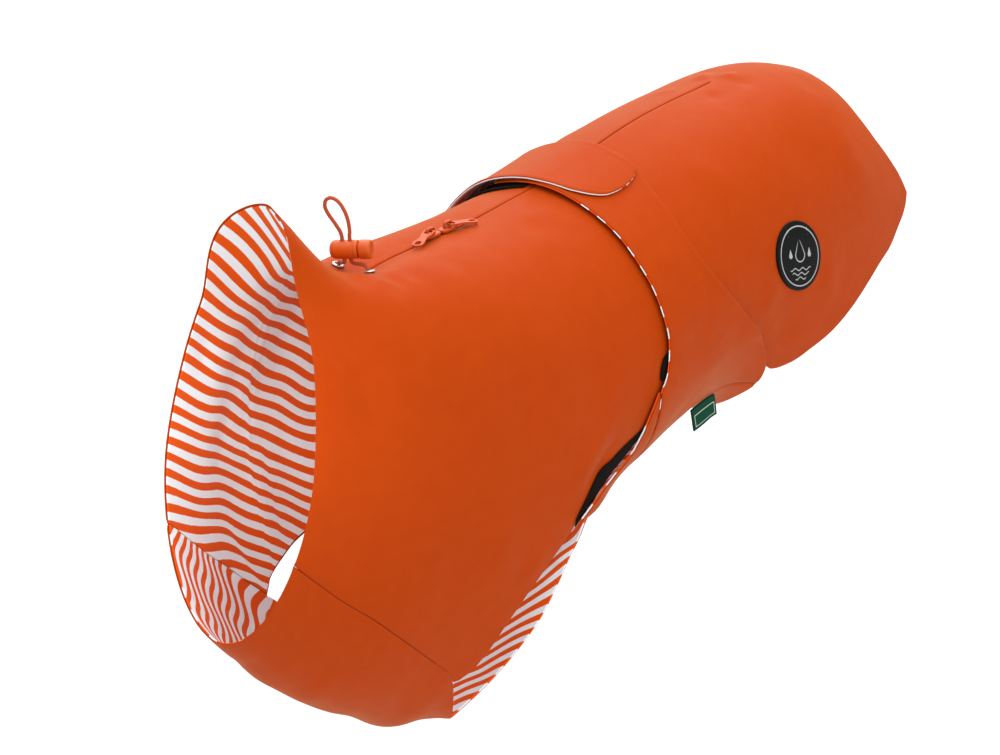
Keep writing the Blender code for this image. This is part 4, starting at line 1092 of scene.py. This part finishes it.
# radius  height: the barrel inside, the rolled top, the outer rim
ROLL = np.array([(2.3, -1.4), (2.3, .0), (2.4, .5), (2.65, .8), (3.0, .9), (3.5, .75), (3.95, .4),
                 (4.15, 0), (4.1, -.35), (2.7, -.5), (2.6, -1.4)])
mouths = {}
for name, side_of in (("left", 1), ("right", -1)):
    at_s, at_g = np.array([EYELET_STATION]), np.array([side_of * EYELET_GIRTH])
    point, n = read(POINTS, at_s, at_g)[0], read(NORMALS, at_s, at_g)[0]
    n = n / np.linalg.norm(n)
    a = read(POINTS, at_s + 2, at_g)[0] - read(POINTS, at_s - 2, at_g)[0]
    a = a - n * (a @ n)
    a /= np.linalg.norm(a)
    b = np.cross(n, a)
    turns, k = 48, len(ROLL)
    w = np.linspace(0, 2 * math.pi, turns, endpoint=False)[:, None]
    spoke = (a * np.cos(w) + b * np.sin(w))[:, None]
    ring = point + n * (EYELET_LIFT + ROLL[None, :, 1:]) + spoke * ROLL[None, :, :1]
    i, j = np.meshgrid(np.arange(turns), np.arange(k), indexing="ij")
    i1, j1 = (i + 1) % turns, (j + 1) % k
    faces = np.stack([i * k + j, i * k + j1, i1 * k + j1, i1 * k + j], -1).reshape(-1, 4)
    eyelet = finish_mesh(f"eyelet_ring_{name}", ring.reshape(-1, 3), faces[:, ::-1], SILVER,
                         smooth=None)
    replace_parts(eyelet, f"eyelet_{name}")
    mouths[name] = (point + n * MOUTH_LIFT, n)

LOCK_MIDDLE, LOCK_TURN = np.array([1.0, -200.0, 9.0]), math.radians(29)
LOCK_RADIUS, LOCK_FROM, LOCK_TO = 6.0, -13.5, 4.6   # mm, and its ends along its axis
HOLES, CORD_RADIUS = (-5.4, -.4), 1.25              # mm along the lock's axis
lock_axis = np.array([math.cos(LOCK_TURN), math.sin(LOCK_TURN), 0])
lock_side = np.array([-math.sin(LOCK_TURN), math.cos(LOCK_TURN), 0])


def through(points, step):
    """Smooth curve through route points, read off every step of its length: a cubic between each
    two points, with the slope of their neighbours."""
    p = np.array(points, float)
    q = np.vstack([2 * p[0] - p[1], p, 2 * p[-1] - p[-2]])
    t = np.linspace(0, 1, 24, endpoint=False)[:, None]
    a, b, c, d = (q[i:len(q) - 3 + i, None] for i in range(4))
    fine = .5 * (2 * b + (c - a) * t + (2 * a - 5 * b + 4 * c - d) * t**2
                 + (3 * b - a - 3 * c + d) * t**3)
    fine = np.vstack([fine.reshape(-1, 3), p[-1:]])
    walk = walk_of(fine)
    at = np.linspace(0, walk[-1], max(2, int(round(walk[-1] / step)) + 1))
    return np.stack([np.interp(at, walk, fine[:, k]) for k in range(3)], -1)


def hole_point(n, high):
    """Point on the axis of the lock's cord hole n, some mm above the lock's middle."""
    return LOCK_MIDDLE + lock_axis * HOLES[n] + np.array([0, 0, high])


# along the lock's axis  up, from the lock's middle
LOOP = [(-6.2, 12.0), (-8.8, 17.0), (-12.6, 23.5), (-14.2, 28.5), (-13.0, 32.5), (-9.4, 33.8),
        (-5.2, 31.2), (-2.0, 25.5), (-.3, 19.0), (.1, 12.5)]
THROUGH_LOCK = (-8.5, -2, 3, 8.5)                   # mm up, from below the lock to above it
(right_mouth, right_n), (left_mouth, left_n) = mouths["right"], mouths["left"]
route = through([right_mouth, right_mouth + right_n * 3.2 + (1.5, -1, 0)]
                + [hole_point(0, z) for z in THROUGH_LOCK]
                + [LOCK_MIDDLE + lock_axis * a + (0, 0, z) for a, z in LOOP]
                + [hole_point(1, z) for z in THROUGH_LOCK[::-1]]
                + [left_mouth + left_n * 3.6 + (-3.0, -.5, .6), left_mouth], .8)
along = np.gradient(route, axis=0)
along /= np.linalg.norm(along, axis=1, keepdims=True)
# a direction square to the cord, carried along it without twist
carry = [np.cross(along[0], (1.0, 0, 0))]
for t in along[1:]:
    v = carry[-1] - t * (carry[-1] @ t)
    carry.append(v / np.linalg.norm(v))
carry = np.array(carry)
carry[0] /= np.linalg.norm(carry[0])


def braided(name, colour):
    """Round braid: two sets of strands crossing at a slant, on the cord's UV in mm, with painted
    shade in the grooves between strands.
    """
    m, tree, surface = new_material(name)
    uv = add(tree, "UVMap", {}, uv_map="cut").outputs[0]
    strands = []
    for angle in (40, -40):
        place = add(tree, "Mapping", {"Rotation": (0, 0, math.radians(angle)), "Vector": uv})
        strands.append(add(tree, "TexWave", {"Scale": 1 / .75 * math.pi / 10, "Distortion": .5,
                                             "Vector": place.outputs[0]}).outputs["Fac"])
    both = add(tree, "Math", {0: strands[0], 1: strands[1]}, operation="MAXIMUM").outputs[0]
    bump = add(tree, "Bump", {"Strength": .8, "Distance": .00018, "Height": both})
    # painted shade: the grooves between the strands are darkened to under half
    deep = tuple(c * .45 for c in colour)
    feed(tree, surface, {"Base Color": mixed(tree, both, deep, colour),
                         "Normal": bump.outputs["Normal"], "Roughness": .7, "Sheen Weight": .2})
    return m


BRAID = braided("cord_braid_orange", (.50, .062, .003))
cord = tube("cord_loop", route, carry, np.cross(along, carry), CORD_RADIUS, CORD_RADIUS, BRAID,
            sides=16)
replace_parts(cord, "draw_cord")

# ------------------------------------------------------------ cord lock
# Moulded orange barrel with two cord holes through it, and its push button with a round cap.
PLASTIC = plain("orange_plastic", (.56, .082, .005), .42, grain=250, depth=.00004,
                Specular_IOR_Level=.3)


def turned_piece(name, profile, start, mat, sides=56):
    """Solid of revolution about the lock's axis, from a profile of (mm from start, radius)."""
    w = np.linspace(0, 2 * math.pi, sides, endpoint=False)
    around = lock_side * np.cos(w)[:, None] + np.array([0, 0, 1.0]) * np.sin(w)[:, None]
    verts = np.concatenate([LOCK_MIDDLE + lock_axis * (start + a) + around * r for a, r in profile])
    k = np.arange(sides)
    l = (k + 1) % sides
    i = np.arange(len(profile) - 1)[:, None] * sides
    faces = np.stack([i + k, i + l, i + sides + l, i + sides + k], -1).reshape(-1, 4).tolist()
    last = (len(profile) - 1) * sides
    faces += [list(range(sides))[::-1], list(range(last, last + sides))]
    return finish_mesh(name, verts, faces, mat, smooth=35)


# mm along from the barrel's mouth  radius: a rounded end, the body, a groove, the mouth's edge
rounded = [(LOCK_FROM - LOCK_TO + 4.2 - 4.2 * math.cos(a), 2.6 + 3.4 * math.sin(a))
           for a in np.linspace(0, math.pi / 2, 9)]
barrel = turned_piece("lock_barrel", rounded + [
    (-3.0, LOCK_RADIUS), (-2.8, 5.75), (-2.4, 5.75), (-2.2, LOCK_RADIUS), (-.6, LOCK_RADIUS),
    (-.2, 5.8), (0, 5.4)], LOCK_TO, PLASTIC)
HOLE_RADIUS = 1.6
w = np.linspace(0, 2 * math.pi, 28, endpoint=False)
hole = HOLE_RADIUS * np.column_stack([np.cos(w), np.sin(w)])
drills = []
for at in HOLES:
    verts, faces = prism(hole, -9, 9, lambda f: f + LOCK_MIDDLE + lock_axis * at)
    drills.append(finish_mesh("drill", verts, faces, PLASTIC))
carved(barrel, drills)
soften(barrel, .25)
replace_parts(barrel, "cord_lock")
button = turned_piece("lock_button", [
    (.2, 4.6), (.8, 4.7), (1.0, 5.6), (1.5, 6.1), (4.6, 6.15), (7.4, 6.1), (8.0, 5.8), (8.35, 5.2),
    (8.4, 4.4), (8.1, 4.1), (8.1, 1.0)], LOCK_TO, PLASTIC)
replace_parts(button, "cord_lock_button")

# ------------------------------------------------------------ badge
# Round black rubber badge, sewn to the left flank. A plain ring and rain drops over waves are
# raised on it in pale grey.
BADGE_STATION, BADGE_GIRTH, BADGE_RADIUS = 129.5, .456, 25.0
BADGE_HIGH, MARK_HIGH, BADGE_LIFT = 1.2, .22, 1.7   # mm: its thickness, the relief, above the form


def drop_distance(x, y, cx, cy, r, tall):
    """Signed distance, about, to a rain drop: a circle below, a point above."""
    dx, dy = x - cx, y - cy
    lift = np.clip(dy / tall, 0, 1)
    to_middle = np.hypot(dx / np.maximum(1 - lift, .02), np.where(dy < 0, dy, 0))
    return (to_middle - r) * (1 - .5 * lift)


def badge_marks(x, y):
    """Distance to the pale relief: ring, outlined big drop, two small drops, three waves."""
    r = np.hypot(x, y)
    ring = np.abs(r - 21.2) - .45
    big = np.abs(drop_distance(x, y, 0, 1.5, 5.2, 12)) - .45
    small = np.minimum(*(drop_distance(x, y, at, 1.0, 1.9, 5) for at in (-10.5, 10.5)))
    waves = [np.maximum(np.abs(y - c - .9 * np.sin(x * .75 + k)) - .4, np.abs(x) - w)
             for k, (c, w) in enumerate(((-9.0, 11.5), (-12.4, 9.5), (-15.6, 6.0)))]
    return np.minimum.reduce([ring, big, small, *waves])


def badge_height(x, y):
    """Height over the form: a disc with a rounded edge, a groove in it, and the raised marks."""
    r = np.hypot(x, y)
    inside = np.clip((BADGE_RADIUS - r) / 1.0, 0, 1)
    return (BADGE_HIGH * np.sqrt(1 - (1 - inside) ** 2)
            + MARK_HIGH * np.clip(.5 - badge_marks(x, y) / .5, 0, 1)
            - .12 * np.exp(-((r - 23.4) / .4) ** 2))


rings, spokes = 63, 200
rr = np.linspace(0, 1, rings + 1)[1:, None] * BADGE_RADIUS
ww = np.linspace(0, 2 * math.pi, spokes, endpoint=False)[None]
bx, by = rr * np.cos(ww), rr * np.sin(ww)
base, n = on_form(BADGE_STATION + bx, BADGE_GIRTH - by / HALF_GIRTH, BADGE_LIFT)
mid, mid_n = on_form(np.array([BADGE_STATION]), np.array([BADGE_GIRTH]), BADGE_LIFT)
verts = np.concatenate([
    (base + n * badge_height(bx, by)[..., None]).reshape(-1, 3), base[-1] - n[-1] * .25,
    mid + mid_n * badge_height(np.zeros(1), np.zeros(1)), mid - mid_n * .2])
k = np.arange(spokes)
l = (k + 1) % spokes
faces = np.concatenate([np.stack([i * spokes + k, (i + 1) * spokes + k, (i + 1) * spokes + l,
                                  i * spokes + l], -1) for i in range(rings)]).tolist()
front_pole, back_pole = (rings + 1) * spokes, (rings + 1) * spokes + 1
faces += [[front_pole, a, b] for a, b in zip(k, l)]
faces += [[back_pole, rings * spokes + b, rings * spokes + a] for a, b in zip(k, l)]


def marked(mat, pale, soft):
    """Paints marks in a pale colour on a material, where the 'stripe' attribute, here the distance
    to a mark in mm, is below zero; soft is half the width of the mark's edge."""
    tree = mat.node_tree
    surface = tree.nodes["Principled BSDF"]
    far = add(tree, "Attribute", {}, attribute_name="stripe").outputs["Fac"]
    inside = add(tree, "MapRange", {"From Min": soft, "From Max": -soft, "Value": far},
                 interpolation_type="SMOOTHSTEP")
    ground = surface.inputs["Base Color"].links[0].from_socket
    feed(tree, surface, {"Base Color": mixed(tree, inside.outputs[0], ground, pale)})
    return mat


RUBBER = marked(plain("badge_rubber_black", (.0035, .0040, .0042), .6, grain=700, depth=.00006,
                      vary=.3, Specular_IOR_Level=.08), (.36, .36, .35), .12)
UNMARKED = 2.0                                      # mm from any mark: the badge's side and back
mark = np.concatenate([badge_marks(bx, by).ravel(), np.full(spokes, UNMARKED),
                       badge_marks(np.zeros(1), np.zeros(1)), [UNMARKED]])
badge = finish_mesh("rubber_badge", verts, faces, RUBBER, stripe=mark,
                    smooth=None)
face_out(badge)
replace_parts(badge, "badge")

# ------------------------------------------------------------ side label
# A folded strip of green woven tape, caught in the left belly seam. It is bare but for the thin
# pale frame woven near its edge.
LABEL_FROM, LABEL_TO, LABEL_LONG = 38, 65, 15.0     # stations, mm down
FRAME_IN, FRAME_HALF = 2.0, .28                     # mm from the edge, half the line's width
u = np.linspace(0, 1, 40)
ls, lg = LABEL_FROM + (LABEL_TO - LABEL_FROM) * u, np.full(40, WING_SEAM)
head = read(POINTS, ls, lg) + read(NORMALS, ls, lg) * (BAND_LIFT + CLOTH + .4)
# down the front leaf, round the fold and up the back leaf
v = np.concatenate([np.linspace(0, 1, 24), [1.02, 1.02], np.linspace(1, 0, 24)])[:, None]
leaf = np.concatenate([np.full(24, 1.2), [.95, .25], np.zeros(24)])[:, None]
sway = .5 * np.sin(u[None] * 5.2) * v**2
label = (head[None] + (v * 1.5 + leaf + sway)[..., None] * np.array([1.0, 0, 0])
         + (-.5 - v * (LABEL_LONG - .3))[..., None] * np.array([0, 0, 1.0]))
from_sides = np.minimum(u, 1 - u)[None] * (LABEL_TO - LABEL_FROM)
from_top = np.clip(v, 0, 1) * LABEL_LONG
from_ends = np.minimum(from_top - 3.4, LABEL_LONG - from_top) + .2
frame_line = np.abs(np.minimum(from_sides, from_ends) - FRAME_IN) - FRAME_HALF
GREEN = marked(plain("label_weave_green", (.005, .060, .032), .8, grain=900, depth=.0001, vary=.3,
                     Specular_IOR_Level=.1), (.52, .56, .50), .1)
index = np.arange(label[..., 0].size).reshape(label.shape[:2])
faces = np.stack([index[:-1, :-1], index[:-1, 1:], index[1:, 1:], index[1:, :-1]], -1)
tag = finish_mesh("green_label", label.reshape(-1, 3), faces.reshape(-1, 4), GREEN,
                  stripe=frame_line.ravel(), smooth=None)
wall = tag.modifiers.new("tape", "SOLIDIFY")
wall.thickness, wall.offset = .35 * MM, 0
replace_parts(tag, "side_label")
